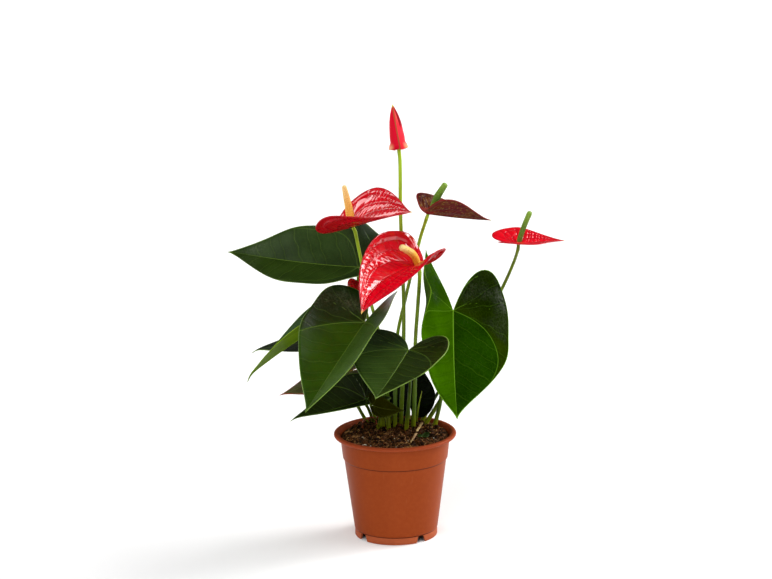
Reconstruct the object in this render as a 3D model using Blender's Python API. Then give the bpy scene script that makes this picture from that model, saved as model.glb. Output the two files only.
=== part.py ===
"""A potted anthurium: a nursery pot, its soil, heart-shaped leaves and waxy red flowers on long stalks.

The pot stands on Z = 0 with its axis on Z, and the front of the plant looks along -Y.
Sizes are in millimetres and angles in degrees until MM and math.radians turn them.
"""

import math
from dataclasses import dataclass

import bmesh
import bpy
from mathutils import Matrix, Vector
from mathutils.geometry import interpolate_bezier

MM = 0.001
GAP = 0.35

POT_HEIGHT = 104.0
POT_RIM_RADIUS = 60.0
POT_NECK_RADIUS = 53.7
POT_SHOULDER_RADIUS = 50.3
POT_BASE_RADIUS = 40.5
POT_WALL = 1.45
POT_SHOULDER_Z = 78.4
POT_FOOT = 7.2
POT_RECESS = 7.4
POT_FLOOR_Z = 9.0
POT_SEGMENTS = 64
NOTCH_COUNT = 4
NOTCH_FIRST_ANGLE = -53.0
NOTCH_WIDTH_BELOW = 11.5
NOTCH_WIDTH_ABOVE = 7.0
NOTCH_HEIGHT = 6.8

SOIL_EDGE_Z = 100.0
SOIL_CROWN = 1.0
SOIL_TILT = 3.0
SOIL_REACH = 52.0
SOIL_SEGMENTS = 48
STALK_DEPTH = 12.0

LEAF_THICKNESS = 0.7
SPATHE_THICKNESS = 0.8
RAYS = 14
RINGS = 4
SMALL_BLADE = 60.0
SMALL_BLADE_RINGS = 2
STALK_STEP = 5.0
STALK_SLACK = 0.3

LEAF_GREEN = (0.022, 0.085, 0.010)
DARK_GREEN = (0.012, 0.035, 0.008)
STALK_GREEN = (0.16, 0.26, 0.015)
SPATHE_RED = (0.62, 0.004, 0.018)
OLD_SPATHE = (0.075, 0.018, 0.012)
SPADIX_YELLOW = (0.85, 0.50, 0.08)
SPADIX_GREEN = (0.20, 0.34, 0.06)
CLAY = (0.42, 0.13, 0.045)
PEAT = (0.035, 0.017, 0.008)
DRY = (0.38, 0.24, 0.12)


@dataclass(frozen=True)
class Blade:
    """A heart-shaped blade, joined to its stalk at the bottom of the notch between its two lobes.

    Pairs hold the value for the left half and for the right half, as seen from the stalk to the tip.
    """

    name: str
    foot: tuple  # where it joins its stalk
    heading: float  # compass of the tip: 0 is +X, 90 is +Y
    pitch: float
    roll: float
    length: float  # from the stalk to the tip
    widths: tuple  # of each half
    lobe: float  # how far the lobes reach back past the stalk
    notch: float  # how wide the notch between the lobes is, as a share of half the width
    fold: tuple  # how steeply each half leaves the midrib
    curl: tuple  # how much more it turns up by its edge
    bend: float  # how far the midrib droops from the stalk to the tip
    back: tuple  # how far each lobe rises
    twist: float = 0.0
    sweep: float = 0.0
    hook: float = 0.0  # how far the last fifth turns down
    tail: float = 0.03  # half the width of the tip's tail, as a share of the length
    wave: tuple = (0.0, 0.0)  # height of each edge's two ripples
    phase: tuple = (0.0, 0.0)


@dataclass(frozen=True)
class Stalk:
    """A leaf or flower stalk: where it leaves the soil, the points that it passes, and its radii."""

    name: str
    base: tuple
    through: tuple
    radius: float
    base_radius: float


@dataclass(frozen=True)
class Spadix:
    """The finger of tiny flowers on a spathe: two points that it passes, and (share, radius) pairs."""

    name: str
    through: tuple
    tip: tuple
    profile: tuple


LEAVES = (
    Blade("leaf_upper_left", (-34.5, 40, 260), 167, 1, -20, 134, (54, 54), 34, 0.06, (10, 20), (22, -4), -5, (11, 10),
          twist=-31, sweep=-6, hook=8, wave=(1.7, 6.3), phase=(173, 20)),
    Blade("leaf_front_left", (-28, -34, 223.3), 236, -31.5, 1, 133, (55.5, 55.5), 32, 0.14, (21, 8), (32, 52), -10,
          (13, 1), twist=-9, sweep=11, wave=(1.9, 2.8), phase=(185, 198)),
    Blade("leaf_front", (14, -52, 200.3), 249, -19, -2, 101, (42.5, 53), 22, 0.21, (8, 5), (8, 11), -13, (16, 11),
          twist=-2, sweep=3, wave=(1.1, 0.7), phase=(-90, 25)),
    Blade("leaf_right", (58.4, 20, 220), 268, -49, -26, 129, (65, 65), 50, 0.27, (5, -11), (-24, 102), -19, (36, -25),
          twist=8, sweep=-5, wave=(2.3, 7.6), phase=(165, 27)),
    Blade("leaf_left", (-70, 26, 207), 155, -34.5, -5, 109, (41.5, 41.5), 29, 0.08, (23, 12), (-11, 28), 5, (11, 10),
          twist=-10, hook=30, tail=0.01),
    Blade("leaf_back_low_left", (-66, 69, 178.5), 158, -9, -9, 86, (33, 33), 23, 0.08, (6, 5), (0, 3), 6, (10, 10),
          hook=30, tail=0.01),
    Blade("leaf_lower_left", (-45, 81, 143), 155, -22, -26, 86, (33, 33), 22, 0.08, (8, 6), (-1, 9), 2, (10, 10),
          twist=3, tail=0.01),
    Blade("leaf_low_left", (-28, 6, 135), 213, -8, -17, 84, (31.5, 31.5), 17, 0.16, (19, 19), (17, 24), -4, (10, 12),
          twist=14, sweep=-11, hook=40, tail=0.01),
    Blade("leaf_upright", (15, 41, 122), 84, 72, 12, 51, (27, 27), 16, 0.08, (15, 22), (-8, 11), -20, (13, 15)),
    Blade("leaf_small", (-20, -34, 140), 303, 1, 95, 38, (14.5, 11), 8, 0.08, (-2, -8), (7, 1), 37, (10, 10)),
    Blade("leaf_back_left", (-34, 52, 202), 102, -4, 0, 100, (36, 36), 24, 0.10, (-8, -24), (-8, -36), 16, (12, 12),
          wave=(1.5, 1.5), phase=(0, 70)),
    Blade("leaf_back_right", (70, 66, 160.5), 76, -6, 0, 84, (35, 35), 22, 0.10, (-4, -4), (-8, -8), 18, (12, 12),
          wave=(1.5, 1.5), phase=(60, 130)),
)

SPATHES = (
    Blade("flower_left_spathe", (-38.5, -15, 313.6), 317, 20, 20, 87, (43, 43), 27, 0.06, (18, 16), (16, 49), 1,
          (8, 10), sweep=-7),
    Blade("flower_centre_spathe", (24.5, -25, 276), 214.5, 2.5, 21, 102, (44.5, 44.5), 15, 0.21, (3, 31), (18, 75),
          48, (18, 2), twist=-41, sweep=29, wave=(0.9, 0.5), phase=(7, 238)),
    Blade("flower_brown_spathe", (34.5, -5, 323), 28, -14, 14, 71, (29.5, 29.5), 8, 0.06, (26, 39), (-10, 30), -5,
          (11, 17), twist=-8),
    Blade("flower_right_spathe", (122.6, 30, 284), 20, -5, -4, 51, (24.5, 24.5), 25, 0.15, (28, 18), (10, -24), -6,
          (8, 8), sweep=8),
)

LEAF_STALKS = (
    Stalk("leaf_upper_left_stalk", (-12, 19), ((-18, 25, 170), (-26, 31, 214.5), (-34, 40, 241)), 1.6, 3.2),
    Stalk("leaf_front_left_stalk", (-6, 13), ((-11, 16, 140), (-18, 12, 165), (-26, -4, 205), (-27, -20, 218.5)),
          1.7, 2.4),
    Stalk("leaf_front_stalk", (11, 8), ((15, -2, 150), (14, -30, 181)), 1.7, 2.3),
    Stalk("leaf_right_stalk", (39.5, 23), ((45, 25, 126), (52, 35, 177)), 1.7, 2.3),
    Stalk("leaf_left_stalk", (-27, 32), ((-37, 37, 121), (-55, 30, 167)), 1.5, 1.9),
    Stalk("leaf_back_low_left_stalk", (-11, 44), ((-18, 44, 150), (-40, 54, 167)), 1.5, 2.0),
    Stalk("leaf_lower_left_stalk", (-19, 42), ((-29, 62, 128),), 1.5, 2.0),
    Stalk("leaf_low_left_stalk", (-21, 34), ((-26, 13, 124),), 1.5, 2.0),
    Stalk("leaf_upright_stalk", (14, 42), (), 1.5, 2.0),
    Stalk("leaf_small_stalk", (-17, 10), ((-15, -16, 122),), 1.2, 1.8),
    Stalk("leaf_back_left_stalk", (-3, 38), ((-5, 47, 150), (-24, 50, 186)), 1.6, 2.2),
    Stalk("leaf_back_right_stalk", (27, 39), ((50, 54, 138),), 1.6, 2.2),
)

FLOWER_STALKS = (
    Stalk("flower_left_stalk", (-5, 28), ((-12, 10, 188), (-24, -16, 248), (-33, -19, 294)), 1.65, 2.3),
    Stalk("flower_centre_stalk", (18, 17), ((20, 16, 146), (21, 14, 190), (24, 2, 234)), 1.85, 2.4),
    Stalk("flower_brown_stalk", (0, 20), ((3, 20, 191), (12, 22, 233), (26, 16, 291)), 1.65, 2.3),
    Stalk("flower_right_stalk", (31, 31), ((48, 35, 129.5), (75, 45, 173.5), (107, 68, 228), (118, 50, 258.5)),
          1.65, 2.3),
)

YOUNG_SPATHE = Blade("young_flower_spathe", (-33, 20, 249.5), 285, -38, 5, 29, (14, 14), 9, 0.3, (-20, -20),
                     (-40, -40), 10, (10, 10))
YOUNG_STALK = Stalk("young_flower_stalk", (-13, 29), ((-21, 31, 150), (-27, 27, 190), (-32, 26, 229)), 1.4,
                    1.9)

BUD_BASE = (7, 0, 386)
BUD_TIP = (1.5, 0, 429.5)
BUD_PROFILE = ((0.0, 2.4), (0.03, 7.4), (0.10, 8.6), (0.25, 7.6), (0.45, 6.6), (0.62, 5.6), (0.78, 4.0),
               (0.90, 2.1), (0.97, 0.9), (1.0, 0.3))
BUD_SIDES = 18
BUD_STALK = Stalk("bud_stalk", (6, 26), ((10, 8, 217), (8, 4, 320), (8, 0, 374)), 1.8, 2.4)

SPADICES = (
    Spadix("flower_left_spadix", (-42, -15, 333.7), (-46, -16, 354.7),
           ((0.0, 1.4), (0.10, 3.4), (0.3, 3.9), (0.7, 3.1), (0.93, 2.4), (1.0, 1.1))),
    Spadix("flower_centre_spadix", (19, -33, 290), (7, -43, 300),
           ((0.0, 1.4), (0.10, 3.2), (0.5, 3.6), (0.92, 3.2), (1.0, 1.6))),
    Spadix("flower_brown_spadix", (43, -5, 339), (52, -5, 353),
           ((0.0, 1.2), (0.2, 1.9), (0.55, 3.4), (0.93, 2.8), (1.0, 1.2))),
    Spadix("flower_right_spadix", (128, 30, 300.8), (134.5, 30, 316.6),
           ((0.0, 1.2), (0.10, 2.5), (0.92, 2.6), (1.0, 1.2))),
)

SPEAR = Stalk("leaf_spear", (21, 32), ((22, 25, 113), (24.5, 21, 128), (27, 20, 139)), 0.3, 1.9)
DRY_SHEATH = Stalk("dry_sheath", (-32, 19), ((-31, 18, 109), (-26, 17, 113), (-20, 16.5, 113), (-17.5, 16, 106)),
                   0.5, 1.2)
DRY_STALK = ("dry_stalk", (27, 27), (15, -30), 1.4)
LEAF_SCRAP = Blade("leaf_scrap", (26.5, -12, 102.0), 75, 1, 0, 36, (5, 6), 2, 0.1, (4, 4), (-4, -4), 0, (2, 2))


def clear_scene():
    """Remove whatever the startup file holds."""
    for obj in list(bpy.data.objects):
        bpy.data.objects.remove(obj, do_unlink=True)


def material(name, colour, roughness):
    """A Principled material of one colour."""
    made = bpy.data.materials.new(name)
    made.use_nodes = True
    shader = made.node_tree.nodes["Principled BSDF"]
    shader.inputs["Base Color"].default_value = (*colour, 1.0)
    shader.inputs["Roughness"].default_value = roughness
    shader.inputs["Metallic"].default_value = 0.0
    made.diffuse_color = (*colour, 1.0)
    return made


def add_object(name, data, finish):
    """Link a mesh or curve to the scene under its node name."""
    obj = bpy.data.objects.new(name, data)
    data.materials.append(finish)
    bpy.context.scene.collection.objects.link(obj)
    return obj


def mesh_object(name, shape, finish, smooth=True):
    """Turn a bmesh into an object and free it."""
    mesh = bpy.data.meshes.new(name)
    shape.to_mesh(mesh)
    shape.free()
    obj = add_object(name, mesh, finish)
    if smooth:
        shade(mesh)
    return obj


def shade(mesh):
    """Smooth shading with the sharp edges kept."""
    mesh.shade_smooth()
    mesh.set_sharp_from_angle(angle=math.radians(40))


def spun(profile, segments):
    """A closed body turned about Z from (radius, height) points that start and end on the axis."""
    shape = bmesh.new()
    points = [shape.verts.new((radius * MM, 0.0, height * MM)) for radius, height in profile]
    edges = [shape.edges.new(pair) for pair in zip(points, points[1:])]
    bmesh.ops.spin(shape, geom=points + edges, cent=(0, 0, 0), axis=(0, 0, 1), angle=2 * math.pi,
                   steps=segments, use_merge=True)
    bmesh.ops.remove_doubles(shape, verts=shape.verts, dist=1e-6)
    bmesh.ops.recalc_face_normals(shape, faces=shape.faces)
    return shape


def cut(obj, cutters):
    """Cut an object with others, keep the result and remove the others."""
    tools = bpy.data.collections.new(obj.name + "_tools")
    bpy.context.scene.collection.children.link(tools)
    for cutter in cutters:
        bpy.context.scene.collection.objects.unlink(cutter)
        tools.objects.link(cutter)
    modifier = obj.modifiers.new("Cut", "BOOLEAN")
    modifier.operation = "DIFFERENCE"
    modifier.operand_type = "COLLECTION"
    modifier.collection = tools
    modifier.solver = "EXACT"
    bpy.context.view_layer.update()
    result = bpy.data.meshes.new_from_object(obj.evaluated_get(bpy.context.evaluated_depsgraph_get()))
    obj.modifiers.remove(modifier)
    obj.data = result
    for cutter in cutters:
        bpy.data.objects.remove(cutter, do_unlink=True)
    bpy.data.collections.remove(tools)


def build_pot(finish):
    """The nursery pot: a tapered wall, a shoulder, a rolled rim and a notched foot ring."""
    top, rim, neck, shoulder, base = POT_HEIGHT, POT_RIM_RADIUS, POT_NECK_RADIUS, POT_SHOULDER_RADIUS, POT_BASE_RADIUS
    inside = [
        (0, POT_FLOOR_Z),
        (base - 1.2, POT_FLOOR_Z),
        (shoulder - POT_WALL, POT_SHOULDER_Z),
        (shoulder, POT_SHOULDER_Z + 2),
        (neck - POT_WALL, top - 5),
        (rim - 5.4, top - 0.9),
        (rim - 4.6, top),
    ]
    outside = [
        (rim - 1.3, top),
        (rim - 0.3, top - 0.8),
        (rim, top - 2.0),
        (rim - 0.4, top - 3.2),
        (rim - 1.4, top - 3.8),
        (neck, top - 4.0),
        (shoulder + 1.1, POT_SHOULDER_Z + 0.8),
        (shoulder, POT_SHOULDER_Z),
        (base + 0.4, POT_FOOT + 0.8),
        (base - 0.3, POT_FOOT),
        (base, POT_FOOT - 0.7),
        (base, 0.4),
        (base - 0.4, 0),
    ]
    underside = [(base - 2.1, 0), (base - 2.3, POT_RECESS), (0, POT_RECESS)]
    pot = mesh_object("pot", spun(inside + outside + underside, POT_SEGMENTS), finish)
    cut(pot, [foot_notch(number, finish) for number in range(NOTCH_COUNT)])
    shade(pot.data)


def foot_notch(number, finish):
    """A drain notch through the foot ring, wider at the floor than above."""
    shape = bmesh.new()
    bmesh.ops.create_cube(shape, size=1.0)
    for vertex in shape.verts:
        above = vertex.co.z > 0
        width = NOTCH_WIDTH_ABOVE if above else NOTCH_WIDTH_BELOW
        reach = 34.0 if vertex.co.y > 0 else 46.0
        vertex.co = Vector((math.copysign(width / 2, vertex.co.x), -reach, NOTCH_HEIGHT if above else -1.0)) * MM
    upper = [edge for edge in shape.edges
             if all(v.co.z > 0 for v in edge.verts) and abs(edge.verts[0].co.x - edge.verts[1].co.x) < 1e-6]
    bmesh.ops.bevel(shape, geom=upper, offset=1.2 * MM, segments=2, affect="EDGES", profile=0.5)
    bmesh.ops.recalc_face_normals(shape, faces=shape.faces)
    turn = math.radians(NOTCH_FIRST_ANGLE + number * 360 / NOTCH_COUNT)
    bmesh.ops.rotate(shape, verts=shape.verts, cent=(0, 0, 0), matrix=Matrix.Rotation(turn, 3, "Z"))
    return mesh_object("notch_cutter", shape, finish, smooth=False)


def soil_height(x, y):
    """Height of the soil at a place: a low mound with lumps that lies a little higher at the back."""
    radius = math.hypot(x, y)
    lumps = 0.5 * math.sin(x / 4.1 + 1.3) * math.cos(y / 3.7) + 0.4 * math.sin(x / 7.3 - y / 5.9)
    crown = SOIL_CROWN * (1 - (radius / SOIL_REACH) ** 2)
    return SOIL_EDGE_Z + crown + (lumps + SOIL_TILT * y / SOIL_REACH) * min(1, (SOIL_REACH - radius) / 6)


def build_soil(stalks, finish):
    """Peat that fills the pot, with a plain round hole for each stalk."""
    rise = (SOIL_EDGE_Z - POT_SHOULDER_Z - 2) / (POT_HEIGHT - 7 - POT_SHOULDER_Z)
    edge = POT_SHOULDER_RADIUS + rise * (POT_NECK_RADIUS - POT_WALL - POT_SHOULDER_RADIUS)
    top = [(radius, SOIL_EDGE_Z + 1) for radius in (0, 9, 18, 26, 34, 42, 48)]
    side = [
        (edge - GAP, SOIL_EDGE_Z),
        (POT_SHOULDER_RADIUS - GAP, POT_SHOULDER_Z + 2),
        (POT_SHOULDER_RADIUS - POT_WALL - GAP, POT_SHOULDER_Z),
        (POT_BASE_RADIUS - 1.2 - GAP, POT_FLOOR_Z + GAP),
        (0, POT_FLOOR_Z + GAP),
    ]
    shape = spun(top + side, SOIL_SEGMENTS)
    for vertex in shape.verts:
        if vertex.co.z > (SOIL_EDGE_Z + 0.5) * MM:
            vertex.co.z = soil_height(vertex.co.x / MM, vertex.co.y / MM) * MM
    bmesh.ops.triangulate(shape, faces=shape.faces)
    soil = mesh_object("soil", shape, finish, smooth=False)
    cut(soil, [stalk_hole(stalk, finish) for stalk in stalks])


def stalk_hole(stalk, finish):
    """A round hole in the soil, a little wider than the stalk that stands in it."""
    x, y = stalk.base
    radius = (stalk.base_radius + 0.45) * MM
    length = STALK_DEPTH + 10
    shape = bmesh.new()
    bmesh.ops.create_cone(shape, cap_ends=True, segments=12, radius1=radius, radius2=radius, depth=length * MM)
    middle = soil_height(x, y) - STALK_DEPTH - GAP + length / 2
    bmesh.ops.translate(shape, verts=shape.verts, vec=Vector((x, y, middle)) * MM)
    return mesh_object("hole_cutter", shape, finish, smooth=False)


def half_outline(blade, side, count):
    """Flat (forward, sideways) points of half a blade's edge, from its tip round its lobe to the stalk."""
    length, half, lobe = blade.length, blade.widths[side], blade.lobe
    widest = 0.12 * length
    waist = half * (0.30 + blade.notch)
    pieces = (
        ((length, 0), (0.84 * length, blade.tail * length), (0.42 * length, half), (widest, half)),
        ((widest, half), (-widest, half), (-lobe, waist + 0.32 * half), (-lobe, waist)),
        ((-lobe, waist), (-lobe, half * blade.notch), (-0.35 * lobe, 0.3 * half * blade.notch), (0, 0)),
    )
    fine = []
    for piece in pieces:
        corners = [Vector((*corner, 0)) for corner in piece]
        fine += interpolate_bezier(*corners, 40)[1 if fine else 0:]
    return [(point.x, point.y) for point in evenly(fine, count)]


def walked(line):
    """The distance to each point along a line."""
    lengths = [0.0]
    for start, end in zip(line, line[1:]):
        lengths.append(lengths[-1] + (end - start).length)
    return lengths


def evenly(line, count):
    """Points at count equal steps along a line of many short ones."""
    lengths = walked(line)
    points = []
    place = 0
    for step in range(count):
        wanted = lengths[-1] * step / count
        while lengths[place + 1] < wanted:
            place += 1
        share = (wanted - lengths[place]) / (lengths[place + 1] - lengths[place])
        points.append(line[place].lerp(line[place + 1], share))
    return points + [line[-1].copy()]


def directions(blade):
    """The blade's forward, left and up directions."""
    heading, pitch, roll = (math.radians(angle) for angle in (blade.heading, blade.pitch, blade.roll))
    forward = Vector((math.cos(pitch) * math.cos(heading), math.cos(pitch) * math.sin(heading), math.sin(pitch)))
    level = Vector((0, 0, 1)).cross(forward).normalized()
    above = forward.cross(level)
    left = level * math.cos(roll) + above * math.sin(roll)
    return forward, left, above * math.cos(roll) - level * math.sin(roll)


def droop(blade, share):
    """How far the midrib has turned down at a share of its length."""
    return math.radians(blade.bend) * share + math.radians(blade.hook) * max(0.0, (share - 0.8) / 0.2) ** 2


def midrib(blade, along, side):
    """Forward and upward place of the midrib's curve at a distance from the stalk, and its slope there."""
    if along < 0:
        rate = math.radians(blade.back[side]) / blade.length
        turn = rate * -along
        return -math.sin(turn) / rate, (1 - math.cos(turn)) / rate, turn
    x = z = 0.0
    steps = 24
    for step in range(steps):
        slope = droop(blade, along / blade.length * (step + 0.5) / steps)
        x += math.cos(slope) * along / steps
        z -= math.sin(slope) * along / steps
    return x, z, droop(blade, along / blade.length)


def on_blade(blade, along, across, side):
    """Where a flat point of the blade lies in space; side is 0 on the left of the midrib and 1 on its right."""
    half = blade.widths[side]
    fold = math.radians(blade.fold[side])
    curl = math.radians(blade.curl[side] or 0.01)
    turn = fold + curl * across / half
    sideways = half / curl * (math.sin(turn) - math.sin(fold))
    raised = half / curl * (math.cos(fold) - math.cos(turn))
    ripple = math.sin(math.radians(blade.phase[side]) + 4 * math.pi * along / blade.length)
    raised += blade.wave[side] * ripple * (across / half) ** 2
    if side == 1:
        sideways = -sideways
    twist = math.radians(blade.twist) * along / blade.length
    sideways, raised = (sideways * math.cos(twist) - raised * math.sin(twist),
                        sideways * math.sin(twist) + raised * math.cos(twist))
    x, z, slope = midrib(blade, along, side)
    x += raised * math.sin(slope)
    z += raised * math.cos(slope)
    sweep = math.radians(blade.sweep) * x / blade.length
    x, y = x * math.cos(sweep / 2) - sideways * math.sin(sweep), sideways * math.cos(sweep) + x * math.sin(sweep / 2)
    forward, left, up = directions(blade)
    return Vector(blade.foot) + forward * x + left * y + up * z


def build_blade(blade, thickness, finish, rays=RAYS, rings=RINGS):
    """A thin closed blade: a fan of rays from the stalk to the edge, in rings, with an even thickness.

    The outline's last point is the stalk itself, so it gets no ray: a ray without length leaves faces
    without area, whose walls cross.
    """
    outlines = [half_outline(blade, side, rays + 1)[:-1] for side in (0, 1)]
    shape = bmesh.new()
    bmesh.ops.create_grid(shape, x_segments=2 * rays, y_segments=rings, size=1.0)
    for vertex in shape.verts:
        ray = round(vertex.co.x * rays)
        side = 0 if ray >= 0 else 1
        reach = (vertex.co.y + 1) / 2
        along, across = outlines[side][abs(ray)]
        vertex.co = on_blade(blade, along * reach, across * reach, side) * MM
    bmesh.ops.remove_doubles(shape, verts=shape.verts, dist=1e-6)
    bmesh.ops.triangulate(shape, faces=shape.faces, quad_method="SHORT_EDGE")
    bmesh.ops.recalc_face_normals(shape, faces=shape.faces)
    solid = mesh_object(blade.name, shape, finish).modifiers.new("Thickness", "SOLIDIFY")
    solid.thickness = thickness * MM
    solid.offset = 0.0


def smooth_path(points, step):
    """Points about a step apart on a smooth curve through the given ones."""
    knots = [Vector(point) for point in points]
    fine = []
    for index in range(len(knots) - 1):
        start, end = knots[index], knots[index + 1]
        before = knots[max(index - 1, 0)]
        after = knots[min(index + 2, len(knots) - 1)]
        reach = (end - start).length / 3
        leaving = start + (end - before).normalized() * reach
        arriving = end - (after - start).normalized() * reach
        fine += interpolate_bezier(start, leaving, arriving, end, 24)[1 if fine else 0:]
    return evenly(fine, max(3, round(walked(fine)[-1] / step)))


def thinned(path):
    """The path without the points that its bends don't need."""
    kept = [path[0]]
    for point, after in zip(path[1:], path[2:]):
        along = (after - kept[-1]).normalized()
        offset = point - kept[-1]
        if (offset - along * offset.dot(along)).length > STALK_SLACK:
            kept.append(point)
    return kept + [path[-1]]


def rod(name, path, radii, finish, resolution=2):
    """A round rod along a path, with a radius for each point and flat ends."""
    curve = bpy.data.curves.new(name, "CURVE")
    curve.dimensions = "3D"
    curve.bevel_depth = 1.0
    curve.bevel_resolution = resolution
    curve.use_fill_caps = True
    spline = curve.splines.new("POLY")
    spline.points.add(len(path) - 1)
    for point, place, radius in zip(spline.points, path, radii):
        point.co = (*(place * MM), 1.0)
        point.radius = radius * MM
    return add_object(name, curve, finish)


def tapered(path, low, high, share):
    """Radii that go from the low end's to the high end's over a share of the path."""
    lengths = walked(path)
    return [high + (low - high) * max(0.0, 1 - length / lengths[-1] / share) for length in lengths]


def build_stalk(stalk, ends, finish, share=0.45):
    """A stalk, straight inside its hole and smooth above it, that passes its points and ends at the last."""
    x, y = stalk.base
    ground = soil_height(x, y)
    bottom = Vector((x, y, ground - STALK_DEPTH))
    path = [bottom] + thinned(smooth_path([(x, y, ground + 1.5), *stalk.through, *ends], STALK_STEP))
    rod(stalk.name, path, tapered(path, stalk.base_radius, stalk.radius, share), finish)


def stalk_ends(blade, stalk, thickness):
    """The last two points of a stalk: under its blade's foot and in line with its underside."""
    down = -directions(blade)[2]
    foot = Vector(blade.foot)
    hang = math.sin(math.radians(max(0, -min(blade.fold))))
    clear = thickness / 2 + GAP + (0.2 + hang) * stalk.radius
    return [foot + down * max(5, 0.06 * blade.length), foot + down * clear]


def build_spadix(spadix, blade, finish):
    """A spadix that stands on its spathe."""
    start = Vector(blade.foot) + directions(blade)[2] * (SPATHE_THICKNESS / 2 + GAP + 0.9)
    fine = smooth_path((start, spadix.through, spadix.tip), 0.5)
    shares = sorted({share for share, _ in spadix.profile} | {0.2, 0.4, 0.6, 0.8})
    path = [fine[round(share * (len(fine) - 1))] for share in shares]
    radii = [radius_at(spadix.profile, share) for share in shares]
    rod(spadix.name, path, radii, finish, resolution=3)


def radius_at(profile, share):
    """The radius that (share, radius) pairs give at a share."""
    for (low, first), (high, second) in zip(profile, profile[1:]):
        if share <= high:
            return first + (second - first) * (share - low) / (high - low)
    return profile[-1][1]


def build_bud(finish):
    """A spathe still rolled round its spadix: a pointed roll with a flared foot."""
    base, tip = Vector(BUD_BASE), Vector(BUD_TIP)
    axis = (tip - base).normalized()
    across = axis.cross(Vector((0, 1, 0))).normalized()
    depth = axis.cross(across)
    shape = bmesh.new()
    rings = []
    for share, radius in BUD_PROFILE:
        middle = base.lerp(tip, share)
        angles = [2 * math.pi * side / BUD_SIDES for side in range(BUD_SIDES)]
        places = [middle + (across * math.cos(a) + depth * 0.9 * math.sin(a)) * radius for a in angles]
        points = [shape.verts.new(place * MM) for place in places]
        rings.append([shape.edges.new(pair) for pair in zip(points, points[1:] + points[:1])])
    for lower, upper in zip(rings, rings[1:]):
        bmesh.ops.bridge_loops(shape, edges=lower + upper)
    bmesh.ops.holes_fill(shape, edges=rings[0] + rings[-1], sides=0)
    bmesh.ops.recalc_face_normals(shape, faces=shape.faces)
    mesh_object("bud_spathe", shape, finish)


def build_litter(finish, green):
    """What lies on the soil: a dry stalk and a scrap of a leaf."""
    name, start, end, radius = DRY_STALK
    line = [Vector((*start, 0)).lerp(Vector((*end, 0)), share / 8) for share in range(9)]
    path = [Vector((p.x, p.y, soil_height(p.x, p.y) + radius + 0.9)) for p in line]
    rod(name, path, tapered(path, radius, 0.8 * radius, 1.0), finish)
    build_blade(LEAF_SCRAP, LEAF_THICKNESS, green, rays=7, rings=2)


def main():
    """Build every piece."""
    clear_scene()
    leaf = material("leaf_green", LEAF_GREEN, 0.3)
    dark = material("leaf_dark_green", DARK_GREEN, 0.3)
    green = material("stalk_green", STALK_GREEN, 0.4)
    red = material("spathe_red", SPATHE_RED, 0.15)
    brown = material("spathe_brown", OLD_SPATHE, 0.35)
    yellow = material("spadix_yellow", SPADIX_YELLOW, 0.6)
    pale = material("spadix_green", SPADIX_GREEN, 0.6)
    dry = material("dry_stalk", DRY, 0.8)
    standing = LEAF_STALKS + FLOWER_STALKS + (YOUNG_STALK, BUD_STALK, SPEAR, DRY_SHEATH)
    build_pot(material("clay_plastic", CLAY, 0.35))
    build_soil(standing, material("peat", PEAT, 0.95))
    for blade, stalk in zip(LEAVES, LEAF_STALKS):
        build_blade(blade, LEAF_THICKNESS, leaf if blade.foot[1] < 30 else dark)
        build_stalk(stalk, stalk_ends(blade, stalk, LEAF_THICKNESS), green)
    spathes = SPATHES + (YOUNG_SPATHE,)
    for blade, stalk in zip(spathes, FLOWER_STALKS + (YOUNG_STALK,)):
        rings = SMALL_BLADE_RINGS if blade.length < SMALL_BLADE else RINGS
        build_blade(blade, SPATHE_THICKNESS, brown if "brown" in blade.name else red, rings=rings)
        build_stalk(stalk, stalk_ends(blade, stalk, SPATHE_THICKNESS), green)
    for spadix, blade in zip(SPADICES, SPATHES):
        build_spadix(spadix, blade, yellow if spadix.name.split("_")[1] in ("left", "centre") else pale)
    build_bud(red)
    axis = (Vector(BUD_TIP) - Vector(BUD_BASE)).normalized()
    build_stalk(BUD_STALK, [Vector(BUD_BASE) - axis * GAP], green)
    build_stalk(SPEAR, [], green, share=1.0)
    build_stalk(DRY_SHEATH, [], dry, share=1.0)
    build_litter(dry, dark)


main()
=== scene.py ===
"""The looks of a potted anthurium: its leaves, waxy flowers, stalks, soil and pot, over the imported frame.

Sizes are in millimetres and angles in degrees until MM and math.radians turn them. Left and right of a
blade are as seen from its stalk towards its tip.
"""

import logging
import math
import random
from dataclasses import dataclass, field
from enum import Enum
from typing import Callable, Iterable, Sequence, Union

import bmesh
import bpy
import numpy as np
from mathutils import Matrix, Vector, noise
from mathutils.geometry import interpolate_bezier


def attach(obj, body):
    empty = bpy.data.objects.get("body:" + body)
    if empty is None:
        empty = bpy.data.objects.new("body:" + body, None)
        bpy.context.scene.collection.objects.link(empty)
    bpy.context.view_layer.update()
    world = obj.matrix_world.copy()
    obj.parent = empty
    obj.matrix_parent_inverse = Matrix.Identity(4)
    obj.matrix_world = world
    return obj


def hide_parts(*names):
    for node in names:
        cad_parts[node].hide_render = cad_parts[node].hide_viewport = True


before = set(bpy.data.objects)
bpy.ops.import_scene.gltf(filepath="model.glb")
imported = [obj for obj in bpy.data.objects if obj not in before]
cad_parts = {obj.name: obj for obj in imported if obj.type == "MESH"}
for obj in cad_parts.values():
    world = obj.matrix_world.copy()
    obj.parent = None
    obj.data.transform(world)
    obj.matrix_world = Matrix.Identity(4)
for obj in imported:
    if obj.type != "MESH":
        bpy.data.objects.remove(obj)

logging.basicConfig(level=logging.INFO, format="%(message)s")
log = logging.getLogger("anthurium")

MM = 0.001
MERGE = 1e-6  # points closer than this, in metres, become one
FULL_TURN = 2 * math.pi
BODY = "root"
SOIL_EDGE_Z = 100.0
SOIL_CROWN = 1.0
SOIL_TILT = 3.0
SOIL_REACH = 52.0
Colour = tuple[float, float, float]
Point = tuple[float, float, float]
Value = Union["Signal", float]


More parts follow.
